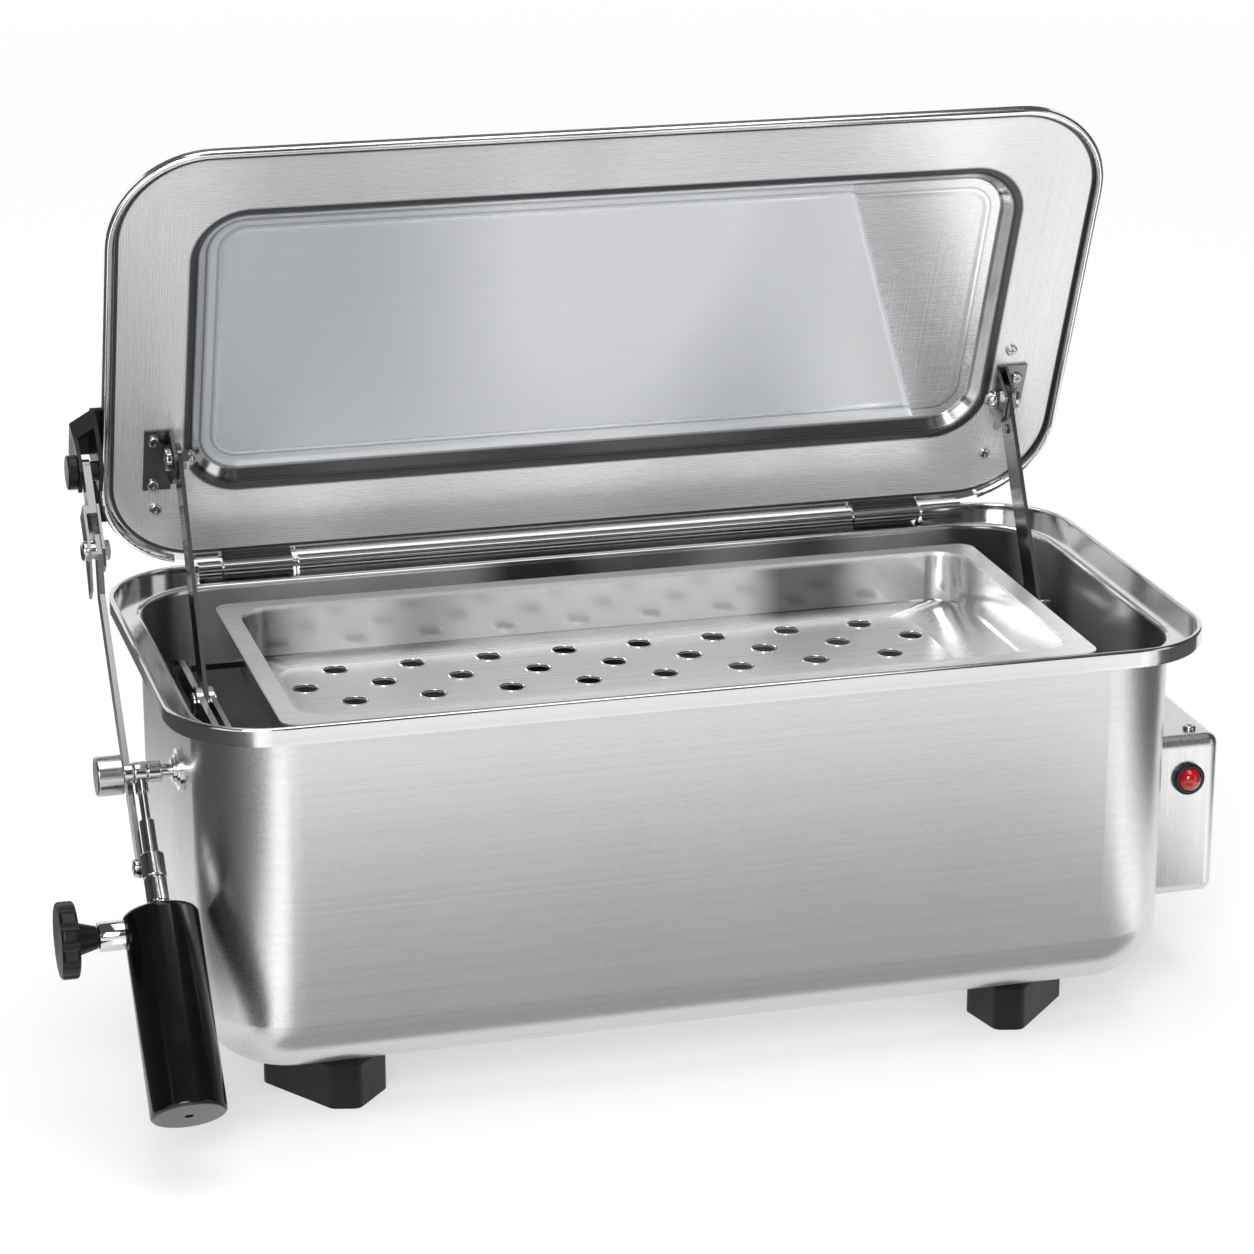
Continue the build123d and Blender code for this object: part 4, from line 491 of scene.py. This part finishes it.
class STERILIZER_OT_lid_finish(Operator):
    """Lid with its brushed lines mitred at the corners, a polished edge, a softer recess, painted sheen
    and painted dark reflection lines
    """
    bl_idname = "sterilizer.lid_finish"
    bl_label = "Lid finish"

    def execute(self, context):
        steel = context.scene.sterilizer_steel
        material, tree, shader, vector = brushed_steel(
            "lid brushed steel", tuple(steel.color), steel.roughness, steel.grain_depth, GRAIN_ALONG_X,
            LID_OPEN, HINGE)
        split = split_vector(tree, vector)
        across = math_node(tree, "SUBTRACT", split["X"], TANK_MIDDLE.x - HINGE.x)
        edge = outline_distance(
            tree, across, math_node(tree, "ADD", split["Y"], LID_FROM_HINGE), *LID_HALF, LID_CORNER)
        recess = outline_distance(
            tree, across, math_node(tree, "ADD", split["Y"], RECESS_FROM_HINGE), *RECESS_HALF,
            RECESS_CORNER)
        panel = spread(tree, split["Z"], *LID_TOP, 0.0, 1.0)
        rise = spread(tree, split["Z"], *LID_RISE, 0.0, 1.0)
        off_panel = math_node(tree, "SUBTRACT", 1.0, panel)
        wall = math_node(tree, "MULTIPLY", rise, off_panel)
        at_edge = math_node(tree, "GREATER_THAN", edge, -LID_EDGE_STRIP)
        bright = math_node(tree, "MAXIMUM", at_edge, wall)

        relief = source_of(shader, "Normal").node
        along_x = relief.inputs["Height"].links[0].from_socket
        along = group_node(tree, shared_group("Brushed grain", make_grain_group), vector)
        along.inputs["Stretch"].default_value = GRAIN_ALONG_Y
        at_side = math_node(tree, "MULTIPLY", self.mitre(tree, split, across), off_panel)
        lines = mix_values(tree, at_side, along_x, along.outputs["Lines"])
        from_bead = math_node(tree, "ABSOLUTE", math_node(tree, "ADD", recess, RECESS_BEAD))
        bead = math_node(
            tree, "MULTIPLY", spread(tree, from_bead, 0.0, RECESS_BEAD_HALF, 1.0, 0.0), panel)
        raised = math_node(tree, "ADD", lines, math_node(tree, "MULTIPLY", bead, RECESS_BEAD_HEIGHT))
        tree.links.new(raised, relief.inputs["Height"])
        tree.links.new(mix_values(tree, bright, 0.6, 0.1), relief.inputs["Strength"])

        rough = spread(tree, lines, 0.25, 0.75, steel.roughness * 0.85, steel.roughness * 1.2)
        rough = mix_values(tree, panel, rough, 0.42)
        rough = mix_values(tree, bead, rough, 0.2)
        tree.links.new(mix_values(tree, bright, rough, steel.polish), shader.inputs["Roughness"])
        satin = mix_values(tree, panel, 0.52, 0.6)
        tree.links.new(mix_values(tree, bright, satin, 1.0), shader.inputs["Metallic"])
        tone = self.tones(tree, vector, lines, panel)
        # Painted dark reflection lines along the lid's edge and round its recess
        dark_lines = self.painted_dark_lines(tree, edge, recess)
        tree.links.new(mix_colors(tree, dark_lines, tone, PAINTED_DARK_LINE_COLOR), shader.inputs["Base Color"])
        dress(material, "lid_panel")
        return {"FINISHED"}

    def mitre(self, tree, split, across):
        """One near the lid's two short sides, where the lines run along them."""
        from_side = math_node(tree, "SUBTRACT", LID_HALF[0], math_node(tree, "ABSOLUTE", across))
        behind = math_node(tree, "MULTIPLY", split["Y"], -1.0)
        from_rear = math_node(tree, "SUBTRACT", behind, LID_FROM_HINGE - LID_HALF[1])
        from_front = math_node(tree, "SUBTRACT", 2 * LID_HALF[1], from_rear)
        from_long = math_node(tree, "MINIMUM", from_rear, from_front)
        nearer = math_node(tree, "SUBTRACT", from_long, from_side)
        return spread(tree, nearer, -MITRE_BLUR, MITRE_BLUR, 0.0, 1.0)

    def painted_dark_lines(self, tree, edge, recess):
        """Painted dark reflection lines along the lid's edge and round its recess."""
        dark = math_node(
            tree, "MAXIMUM", line_at(tree, recess, *RECESS_DARK_LINE), line_at(tree, edge, *EDGE_DARK_LINE))
        for place, half_width, share in RECESS_THIN_DARK_LINES:
            thin = math_node(tree, "MULTIPLY", line_at(tree, recess, place, half_width), share)
            dark = math_node(tree, "MAXIMUM", dark, thin)
        return dark

    def tones(self, tree, vector, lines, panel):
        """Painted light patches on the flange, and on the recess a bluer tone with a painted sheen
        mixed with the grain lines.
        """
        # Painted light patches on the flange
        light_patches = noise(tree, scaled(tree, vector, (9.0, 3.0, 3.0)), 1.0, 1.0)
        flange = mix_colors(tree, spread(tree, light_patches, 0.38, 0.62, 0.0, 1.0), *FLANGE_SHEEN_TONES)
        # Painted sheen on the recess, a quarter of it from the grain lines
        wide = noise(tree, scaled(tree, vector, (8.0, 2.5, 1.0)), 1.0, 0.0)
        glow = math_node(
            tree, "ADD", math_node(tree, "MULTIPLY", spread(tree, wide, 0.36, 0.62, 0.0, 1.0), 0.75),
            math_node(tree, "MULTIPLY", lines, 0.25))
        return mix_colors(tree, panel, flange, mix_colors(tree, glow, *RECESS_SHEEN_TONES))


class STERILIZER_OT_tray_finish(Operator):
    """Satin tray with glossy sides banded with painted reflections, and the cradle under it"""
    bl_idname = "sterilizer.tray_finish"
    bl_label = "Tray finish"

    def execute(self, context):
        steel = context.scene.sterilizer_steel
        material, tree, shader, vector = brushed_steel(
            "tray satin steel", (0.90, 0.905, 0.91), 0.3, steel.grain_depth * 0.5,
            (4.0, 1500.0, 1500.0))
        height = split_vector(tree, vector)["Z"]
        foot = (TRAY_LOW.z + inset for inset in TRAY_WALL_FOOT)
        head = (TRAY_HIGH.z - inset for inset in TRAY_WALL_HEAD)
        above = spread(tree, height, *foot, 0.0, 1.0)
        below = spread(tree, height, *head, 1.0, 0.0)
        wall = math_node(tree, "MULTIPLY", above, below)
        rough = mix_values(tree, wall, source_of(shader, "Roughness"), 0.16)
        tree.links.new(rough, shader.inputs["Roughness"])
        tree.links.new(mix_values(tree, above, 0.6, 0.85), shader.inputs["Metallic"])
        # Painted reflections on the tray's walls: dark and bright soft bands in their colour
        side = mix_colors(tree, painted_reflection_bands(tree, vector, (15.0, 9.0, 2.0)), *TRAY_WALL_REFLECTION_TONES)
        tone = mix_colors(tree, wall, source_of(shader, "Base Color"), side)
        tree.links.new(tone, shader.inputs["Base Color"])
        dress(material, "tray")
        dress(polished_steel("cradle steel", (0.60, 0.61, 0.62), 0.16),
              "cradle_end_left", "cradle_end_right", "cradle_rails", "cradle_cheeks", "cradle_pins")
        return {"FINISHED"}


def ring_rows(rims, rims_name):
    """Node tree that sets a rolled lip at each place of a staggered grid."""
    tree = bpy.data.node_groups.new(rims_name, "GeometryNodeTree")
    tree.interface.new_socket("Geometry", in_out="INPUT", socket_type="NodeSocketGeometry")
    names = {}
    for label, kind, value in (
            ("Hole radius", "NodeSocketFloat", rims.hole_radius), ("Lip", "NodeSocketFloat", rims.wire),
            ("Pitch", "NodeSocketFloat", rims.pitch), ("Row pitch", "NodeSocketFloat", rims.row_pitch),
            ("Rows", "NodeSocketInt", rims.rows), ("Holes", "NodeSocketInt", rims.long_row),
            ("Material", "NodeSocketMaterial", None)):
        socket = tree.interface.new_socket(label, in_out="INPUT", socket_type=kind)
        if value is not None:
            socket.default_value = value
        names[label] = socket.identifier
    tree.interface.new_socket("Geometry", in_out="OUTPUT", socket_type="NodeSocketGeometry")
    start = tree.nodes.new("NodeGroupInput")
    end = tree.nodes.new("NodeGroupOutput")

    def link(a, b):
        tree.links.new(a, b)

    grid = tree.nodes.new("GeometryNodeMeshGrid")
    columns = math_node(tree, "ADD", math_node(tree, "MULTIPLY", start.outputs["Holes"], 2.0), -1.0)
    link(columns, grid.inputs["Vertices X"])
    link(start.outputs["Rows"], grid.inputs["Vertices Y"])
    length = math_node(tree, "MULTIPLY", start.outputs["Pitch"],
                       math_node(tree, "ADD", start.outputs["Holes"], -1.0))
    width = math_node(tree, "MULTIPLY", start.outputs["Row pitch"],
                      math_node(tree, "ADD", start.outputs["Rows"], -1.0))
    link(length, grid.inputs["Size X"])
    link(width, grid.inputs["Size Y"])
    index = tree.nodes.new("GeometryNodeInputIndex")
    row = math_node(tree, "MODULO", index.outputs[0], start.outputs["Rows"])
    rows_passed = math_node(tree, "DIVIDE", index.outputs[0], start.outputs["Rows"])
    column = math_node(tree, "FLOOR", rows_passed)
    odd = math_node(tree, "MODULO", math_node(tree, "ADD", row, column), 2.0)
    wrong = math_node(tree, "COMPARE", odd, 0.0)
    remove = tree.nodes.new("GeometryNodeDeleteGeometry")
    remove.domain = "POINT"
    link(grid.outputs["Mesh"], remove.inputs["Geometry"])
    link(wrong, remove.inputs["Selection"])
    ring = tree.nodes.new("GeometryNodeCurvePrimitiveCircle")
    ring.inputs["Resolution"].default_value = 36
    link(start.outputs["Hole radius"], ring.inputs["Radius"])
    profile = tree.nodes.new("GeometryNodeCurvePrimitiveCircle")
    profile.inputs["Resolution"].default_value = 8
    link(start.outputs["Lip"], profile.inputs["Radius"])
    tube = tree.nodes.new("GeometryNodeCurveToMesh")
    link(ring.outputs["Curve"], tube.inputs["Curve"])
    link(profile.outputs["Curve"], tube.inputs["Profile Curve"])
    smooth = tree.nodes.new("GeometryNodeSetShadeSmooth")
    link(tube.outputs["Mesh"], smooth.inputs["Geometry"])
    place = tree.nodes.new("GeometryNodeInstanceOnPoints")
    link(remove.outputs["Geometry"], place.inputs["Points"])
    link(smooth.outputs["Geometry"], place.inputs["Instance"])
    real = tree.nodes.new("GeometryNodeRealizeInstances")
    link(place.outputs["Instances"], real.inputs["Geometry"])
    paint = tree.nodes.new("GeometryNodeSetMaterial")
    link(real.outputs["Geometry"], paint.inputs["Geometry"])
    link(start.outputs["Material"], paint.inputs["Material"])
    link(paint.outputs["Geometry"], end.inputs["Geometry"])
    return tree, names


class STERILIZER_OT_hole_lips(Operator):
    """Rolled lips round the holes of the tray"""
    bl_idname = "sterilizer.hole_lips"
    bl_label = "Tray hole lips"

    def execute(self, context):
        rims = context.scene.sterilizer_rims
        material = polished_steel("hole lip steel", (0.80, 0.81, 0.82), 0.12)
        tree, names = ring_rows(rims, "Tray hole lips")
        carrier = bpy.data.objects.new("lip_carrier", bpy.data.meshes.new("lip_carrier"))
        context.scene.collection.objects.link(carrier)
        modifier = carrier.modifiers.new("lips", "NODES")
        modifier.node_group = tree
        for label, value in (
                ("Material", material), ("Rows", rims.rows), ("Holes", rims.long_row),
                ("Hole radius", rims.hole_radius), ("Lip", rims.wire), ("Pitch", rims.pitch),
                ("Row pitch", rims.row_pitch)):
            modifier[names[label]] = value
        context.view_layer.update()
        depsgraph = context.evaluated_depsgraph_get()
        mesh = bpy.data.meshes.new_from_object(carrier.evaluated_get(depsgraph))
        if not mesh.polygons:
            raise RuntimeError("the tray hole lips came out empty")
        bpy.data.objects.remove(carrier)
        middle = (TRAY_LOW + TRAY_HIGH) / 2
        middle.z = TRAY_LOW.z
        mesh.transform(Matrix.Translation(middle + Vector(LIP_SHIFT)))
        lips = bpy.data.objects.new("tray_hole_lips", mesh)
        context.scene.collection.objects.link(lips)
        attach(lips, "tray_body")
        return {"FINISHED"}


class STERILIZER_OT_metal_fittings(Operator):
    """Hinge, straps, brackets, screws and the side stay"""
    bl_idname = "sterilizer.metal_fittings"
    bl_label = "Metal fittings"

    def execute(self, context):
        depth = context.scene.sterilizer_steel.grain_depth
        dress(polished_steel("hinge steel", (0.50, 0.505, 0.51), 0.13),
              "hinge_barrel_left", "hinge_barrel_center", "hinge_barrel_right", "hinge_rod",
              "lid_knuckle_left", "lid_knuckle_right")
        dress(polished_steel("strap dark polish", (0.22, 0.222, 0.225), 0.16),
              "strap_left", "strap_right", "strap_pin_left", "strap_pin_right")
        dress(polished_steel("bracket polish", (0.27, 0.272, 0.276), 0.22),
              "strap_bracket_left", "strap_bracket_right", "backing_plate_right")
        dress(polished_steel("screw steel", (0.56, 0.56, 0.57), 0.12),
              "lid_screws", "strap_bolts", "strap_nuts", "strap_ring", "box_screws", "stay_bolt_set")
        dress(polished_steel("bright chrome", (0.60, 0.605, 0.61), 0.06, 0.03),
              "stud_plate", "pivot_stud", "stud_nut", "inner_collar", "outer_collar",
              "swivel_collar", "rod_socket", "ferrule", "guide_rod")
        turned = brushed_steel(
            "turned knob", (0.50, 0.505, 0.51), 0.2, depth * 0.5, (900.0, 40.0, 40.0), wear=0.03)
        dress(turned[0], "lock_knob")
        dress(polished_steel("stay steel", (0.23, 0.232, 0.236), 0.2), "stay_channel", "stay_bar")
        zinc = brushed_steel("zinc plate", (0.55, 0.56, 0.58), 0.4, depth, (60.0, 300.0, 300.0))
        dress(zinc[0], "foot_studs", "foot_nuts", "box_back_plate", "element_rest")
        dress(polished_steel("turned brass", (0.66, 0.48, 0.20), 0.25),
              "element_bushes", "element_nuts")
        tinted = brushed_steel(
            "heat tinted sheath", (0.30, 0.26, 0.22), 0.38, depth, (20.0, 500.0, 500.0))
        dress(tinted[0], "heating_element")
        return {"FINISHED"}


class STERILIZER_OT_black_fittings(Operator):
    """Black cylinder, knobs, feet and bracket, and the parts in rubber, resin and ceramic"""
    bl_idname = "sterilizer.black_fittings"
    bl_label = "Black fittings"

    def execute(self, context):
        dress(black_finish("cylinder enamel", (0.003, 0.003, 0.0035), 0.12, 0.3, 0.000002),
              "cylinder_set")
        collar = polished_steel("clamp collar chrome", (0.66, 0.665, 0.67), 0.06, 0.03)
        dress(black_finish("black moulding", (0.005, 0.005, 0.0055), 0.3, 0.0, 0.00001),
              "knuckle_bracket", "thumb_screw", "clamp_knob", "cord_gland", "gland_nut")
        dress(black_finish("lamp bezel", (0.006, 0.006, 0.006), 0.22, 0.2, 0.000004), "lamp_bezel")
        dress(black_finish("foot rubber", (0.006, 0.006, 0.0065), 0.36, 0.0, 0.00002), "feet")
        dress(black_finish("gasket rubber", (0.25, 0.06, 0.04), 0.6, 0.0, 0.00002), "element_gaskets")
        dress(black_finish("phenolic", (0.05, 0.035, 0.025), 0.45, 0.0, 0.00001), "thermal_cutout")
        dress(black_finish("glazed ceramic", (0.72, 0.70, 0.65), 0.2, 0.3, 0.000005),
              "terminal_block", "lamp_body")
        add_collar_skin(context, collar)
        return {"FINISHED"}


def add_collar_skin(context, material):
    """Chrome skin over the cylinder's side collar, a hair larger than the collar itself."""
    place = Vector(next(j["pos_m"] for j in frame["joints"] if j["name"] == "clamp_turn"))
    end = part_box("cylinder_set")[0][0] - COLLAR_LIFT
    bm = bmesh.new()
    rings = []
    for along, radius in COLLAR_SECTION:
        ring = []
        for k in range(COLLAR_SIDES):
            a = 2 * math.pi * k / COLLAR_SIDES
            ring.append(bm.verts.new(
                (end + along, place.y + radius * math.cos(a), place.z + radius * math.sin(a))))
        rings.append(ring)
    for a, b in zip(rings, rings[1:]):
        for k in range(COLLAR_SIDES):
            after = (k + 1) % COLLAR_SIDES
            bm.faces.new((a[k], a[after], b[after], b[k]))
    bmesh.ops.recalc_face_normals(bm, faces=bm.faces)
    mesh = bpy.data.meshes.new("clamp_collar_skin")
    bm.to_mesh(mesh)
    bm.free()
    mesh.materials.append(material)
    mesh.shade_smooth()
    skin = bpy.data.objects.new("clamp_collar_skin", mesh)
    context.scene.collection.objects.link(skin)
    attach(skin, "stay")


class STERILIZER_OT_control_box(Operator):
    """Brushed control box and the red pilot lamp"""
    bl_idname = "sterilizer.control_box"
    bl_label = "Control box and lamp"

    def execute(self, context):
        steel = context.scene.sterilizer_steel
        lamp = context.scene.sterilizer_lamp
        cover = brushed_steel(
            "box brushed steel", tuple(steel.color), steel.roughness, steel.grain_depth,
            (700.0, 700.0, 6.0))
        dress(cover[0], "control_box")
        lens, tree, shader, place = new_material("red lens", tuple(lamp.lens), 0.08)
        low, high = (Vector(c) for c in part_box("lamp_lens"))
        place.inputs["Location"].default_value = -(low + high) / 2
        split = split_vector(tree, place.outputs["Vector"])
        angle = math_node(tree, "ARCTAN2", split["Z"], split["X"])
        ribs = math_node(tree, "SINE", math_node(tree, "MULTIPLY", angle, float(lamp.ribs)))
        shade = spread(tree, ribs, -1.0, 1.0, 0.0, 1.0)
        tone = mix_colors(tree, shade, tuple(c * 0.75 for c in lamp.lens), tuple(lamp.lens))
        tree.links.new(tone, shader.inputs["Base Color"])
        shader.inputs["Coat Weight"].default_value = 1.0
        shader.inputs["Coat Roughness"].default_value = 0.03
        bump(tree, shader, ribs, 0.00002, 0.4)
        dress(lens, "lamp_lens")
        return {"FINISHED"}


def area_light(name, place, aim, size, power):
    """Rectangular light that points at a place."""
    data = bpy.data.lights.new(name, "AREA")
    data.shape = "RECTANGLE"
    data.size, data.size_y = size
    data.energy = power
    light = bpy.data.objects.new(name, data)
    light.location = place
    direction = Vector(aim) - Vector(place)
    light.rotation_euler = direction.to_track_quat("-Z", "Y").to_euler()
    bpy.context.scene.collection.objects.link(light)


def seen_directly(tree):
    """One for the rays that see a surface: camera, mirror and glass rays."""
    paths = tree.nodes.new("ShaderNodeLightPath")
    bounced = math_node(
        tree, "MAXIMUM", paths.outputs["Is Glossy Ray"], paths.outputs["Is Transmission Ray"])
    return math_node(tree, "MAXIMUM", paths.outputs["Is Camera Ray"], bounced)


def studio_card(name, corners, start, end=None):
    """Card that only reflections see, shaded from its first two corners to its last two."""
    mesh = bpy.data.meshes.new(name)
    mesh.from_pydata(corners, [], [(0, 1, 2, 3)])
    layer = mesh.uv_layers.new(name="across")
    for loop, across in zip(layer.data, (0.0, 0.0, 1.0, 1.0)):
        loop.uv = (across, 0.5)
    material = bpy.data.materials.new(name)
    material.use_nodes = True
    tree = material.node_tree
    tree.nodes.clear()
    coords = tree.nodes.new("ShaderNodeTexCoord")
    across = split_vector(tree, coords.outputs["UV"])["X"]
    glow = tree.nodes.new("ShaderNodeEmission")
    strength = spread(tree, across, 0.0, 1.0, start, start if end is None else end)
    tree.links.new(strength, glow.inputs["Strength"])
    out = tree.nodes.new("ShaderNodeOutputMaterial")
    tree.links.new(glow.outputs[0], out.inputs["Surface"])
    mesh.materials.append(material)
    card = bpy.data.objects.new(name, mesh)
    bpy.context.scene.collection.objects.link(card)
    card.visible_camera = False
    card.visible_diffuse = False
    card.visible_transmission = False
    card.visible_shadow = False


class STERILIZER_OT_studio(Operator):
    """Pale floor, soft lights, world and camera"""
    bl_idname = "sterilizer.studio"
    bl_label = "Studio"

    def execute(self, context):
        studio = context.scene.sterilizer_studio
        scene = context.scene
        scene.view_settings.view_transform = "Standard"
        self.make_floor(studio)
        self.make_world(scene)
        area_light("front light", (-1.0, -2.2, 1.6), (0.0, 0.0, 0.12), (1.2, 1.2), studio.key_power)
        area_light("top light", (0.1, 0.0, 2.2), (0.0, 0.0, 0.1), (2.2, 1.4), studio.top_power)
        self.make_cards()
        self.make_camera(scene)
        return {"FINISHED"}

    def make_cards(self):
        """Grey, dark and bright cards that give the metal its tones."""
        z = 0.002
        left = TANK_LOW.x + 0.025
        front = TANK_LOW.y + 0.005
        studio_card("grey floor card", [
            (left, front, z), (left + 0.52, front, z), (left + 0.56, front - 0.36, z),
            (left, front - 0.36, z)],
            0.38, 0.58)
        studio_card("left floor card", [
            (left - 0.04, 0.9, z), (left - 0.20, front - 0.50, z), (left - 1.6, front - 0.50, z),
            (left - 1.6, 0.9, z)], 0.10, 0.05)
        studio_card("corner light card", [
            (left - 0.02, front - 0.06, z), (left - 0.02, front - 0.5, z),
            (left - 0.17, front - 0.5, z), (left - 0.08, front - 0.06, z)], 1.7)
        right = TANK_HIGH.x - 0.025
        studio_card("right corner light card", [
            (right + 0.10, front, z), (right + 0.16, front - 0.5, z),
            (right + 0.30, front - 0.5, z), (right + 0.20, front, z)], 1.6)
        studio_card("right floor card", [
            (right + 0.26, front + 0.1, z), (right + 0.42, front - 0.5, z),
            (right + 1.4, front - 0.5, z), (right + 1.4, 0.9, z)], 0.12)
        studio_card("left wall card", [
            (-1.9, -0.7, 0.0), (-1.9, -0.7, 2.2), (-1.5, 1.4, 2.2), (-1.5, 1.4, 0.0)], 0.03, 0.14)
        studio_card("right wall card", [
            (1.7, -0.9, 0.0), (1.7, -0.9, 2.2), (1.9, 1.6, 2.2), (1.9, 1.6, 0.0)], 0.05, 0.10)
        studio_card("ceiling card", [
            (-3.0, -3.0, 2.6), (-3.0, 3.0, 2.6), (3.0, 3.0, 2.6), (3.0, -3.0, 2.6)], 0.10)
        for low, high in ((-0.12, 0.08), (0.20, 0.28), (0.40, 0.62)):
            studio_card("front strip card", [
                (low, -0.85, 0.14), (low, -0.85, 0.8), (high, -0.85, 0.8), (high, -0.85, 0.14)], 0.03)
        studio_card("camera side card", [
            (-3.0, -3.2, 0.9), (-3.0, -3.2, 2.6), (3.0, -3.2, 2.6), (3.0, -3.2, 0.9)], 0.10)

    def make_floor(self, studio):
        """Pale floor that keeps the shadow and is brighter to the eye than to the light."""
        mesh = bpy.data.meshes.new("floor")
        mesh.from_pydata([(-14, -14, 0), (14, -14, 0), (14, 14, 0), (-14, 14, 0)], [], [(0, 1, 2, 3)])
        material = bpy.data.materials.new("pale floor")
        material.use_nodes = True
        tree = material.node_tree
        shader = tree.nodes["Principled BSDF"]
        shader.inputs["Base Color"].default_value = (*studio.floor_color, 1.0)
        shader.inputs["Roughness"].default_value = 0.9
        shader.inputs["Specular IOR Level"].default_value = 0.0
        shader.inputs["Emission Color"].default_value = (1.0, 1.0, 1.0, 1.0)
        place = tree.nodes.new("ShaderNodeTexCoord")
        reach = tree.nodes.new("ShaderNodeVectorMath")
        reach.operation = "LENGTH"
        tree.links.new(place.outputs["Object"], reach.inputs[0])
        lift = spread(tree, reach.outputs["Value"], 0.4, 4.0, 0.48, 0.74)
        glow = math_node(tree, "MULTIPLY", seen_directly(tree), lift)
        tree.links.new(glow, shader.inputs["Emission Strength"])
        mesh.materials.append(material)
        floor = bpy.data.objects.new("floor", mesh)
        bpy.context.scene.collection.objects.link(floor)

    def make_world(self, scene):
        """White to the eye, and a softer grey to the light."""
        world = bpy.data.worlds.new("studio world")
        scene.world = world
        world.use_nodes = True
        tree = world.node_tree
        back = tree.nodes["Background"]
        back.inputs["Color"].default_value = (0.93, 0.93, 0.94, 1.0)
        back.inputs["Strength"].default_value = 0.55
        white = tree.nodes.new("ShaderNodeBackground")
        white.inputs["Color"].default_value = (1.0, 1.0, 1.0, 1.0)
        white.inputs["Strength"].default_value = 1.0
        choose = tree.nodes.new("ShaderNodeMixShader")
        tree.links.new(seen_directly(tree), choose.inputs[0])
        tree.links.new(back.outputs[0], choose.inputs[1])
        tree.links.new(white.outputs[0], choose.inputs[2])
        out = tree.nodes["World Output"]
        tree.links.new(choose.outputs[0], out.inputs["Surface"])

    def make_camera(self, scene):
        """Camera in the place from which the photo was taken."""
        data = bpy.data.cameras.new("photo camera")
        data.sensor_width = SENSOR
        data.lens = FOCAL_PIXELS / PHOTO_PIXELS * SENSOR
        data.clip_start = 0.05
        data.clip_end = 60.0
        camera = bpy.data.objects.new("photo camera", data)
        camera.location = CAMERA_PLACE
        camera.rotation_euler = Euler([math.radians(turn) for turn in CAMERA_TURN])
        scene.collection.objects.link(camera)
        scene.camera = camera


class STERILIZER_PT_panel(Panel):
    """Lists the sterilizer's pieces"""
    bl_label = "Sterilizer"
    bl_idname = "STERILIZER_PT_panel"
    bl_space_type = "VIEW_3D"
    bl_region_type = "UI"
    bl_category = "Sterilizer"

    def draw(self, context):
        layout = self.layout
        for label in SIZES:
            box = layout.box()
            group = getattr(context.scene, label)
            for item in group.bl_rna.properties:
                if item.identifier not in ("rna_type", "name"):
                    box.prop(group, item.identifier)
        for operator in OPERATORS:
            layout.operator(operator.bl_idname)


SIZES = {
    "sterilizer_steel": SteelSizes,
    "sterilizer_rims": RimSizes,
    "sterilizer_lamp": LampSizes,
    "sterilizer_studio": StudioSizes,
}
OPERATORS = (
    STERILIZER_OT_tank_finish,
    STERILIZER_OT_lid_finish,
    STERILIZER_OT_tray_finish,
    STERILIZER_OT_hole_lips,
    STERILIZER_OT_metal_fittings,
    STERILIZER_OT_black_fittings,
    STERILIZER_OT_control_box,
    STERILIZER_OT_studio,
)


def register():
    """Add the sizes, the operators and the panel."""
    for label, group in SIZES.items():
        bpy.utils.register_class(group)
        setattr(bpy.types.Scene, label, PointerProperty(type=group))
    for operator in OPERATORS:
        bpy.utils.register_class(operator)
    bpy.utils.register_class(STERILIZER_PT_panel)


def unregister():
    """Take them away again."""
    bpy.utils.unregister_class(STERILIZER_PT_panel)
    for operator in reversed(OPERATORS):
        bpy.utils.unregister_class(operator)
    for label, group in reversed(SIZES.items()):
        delattr(bpy.types.Scene, label)
        bpy.utils.unregister_class(group)


def main():
    register()
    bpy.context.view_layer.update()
    bpy.ops.sterilizer.tank_finish()
    bpy.ops.sterilizer.lid_finish()
    bpy.ops.sterilizer.tray_finish()
    bpy.ops.sterilizer.hole_lips()
    bpy.ops.sterilizer.metal_fittings()
    bpy.ops.sterilizer.black_fittings()
    bpy.ops.sterilizer.control_box()
    bpy.ops.sterilizer.studio()


if __name__ == "__main__":
    main()
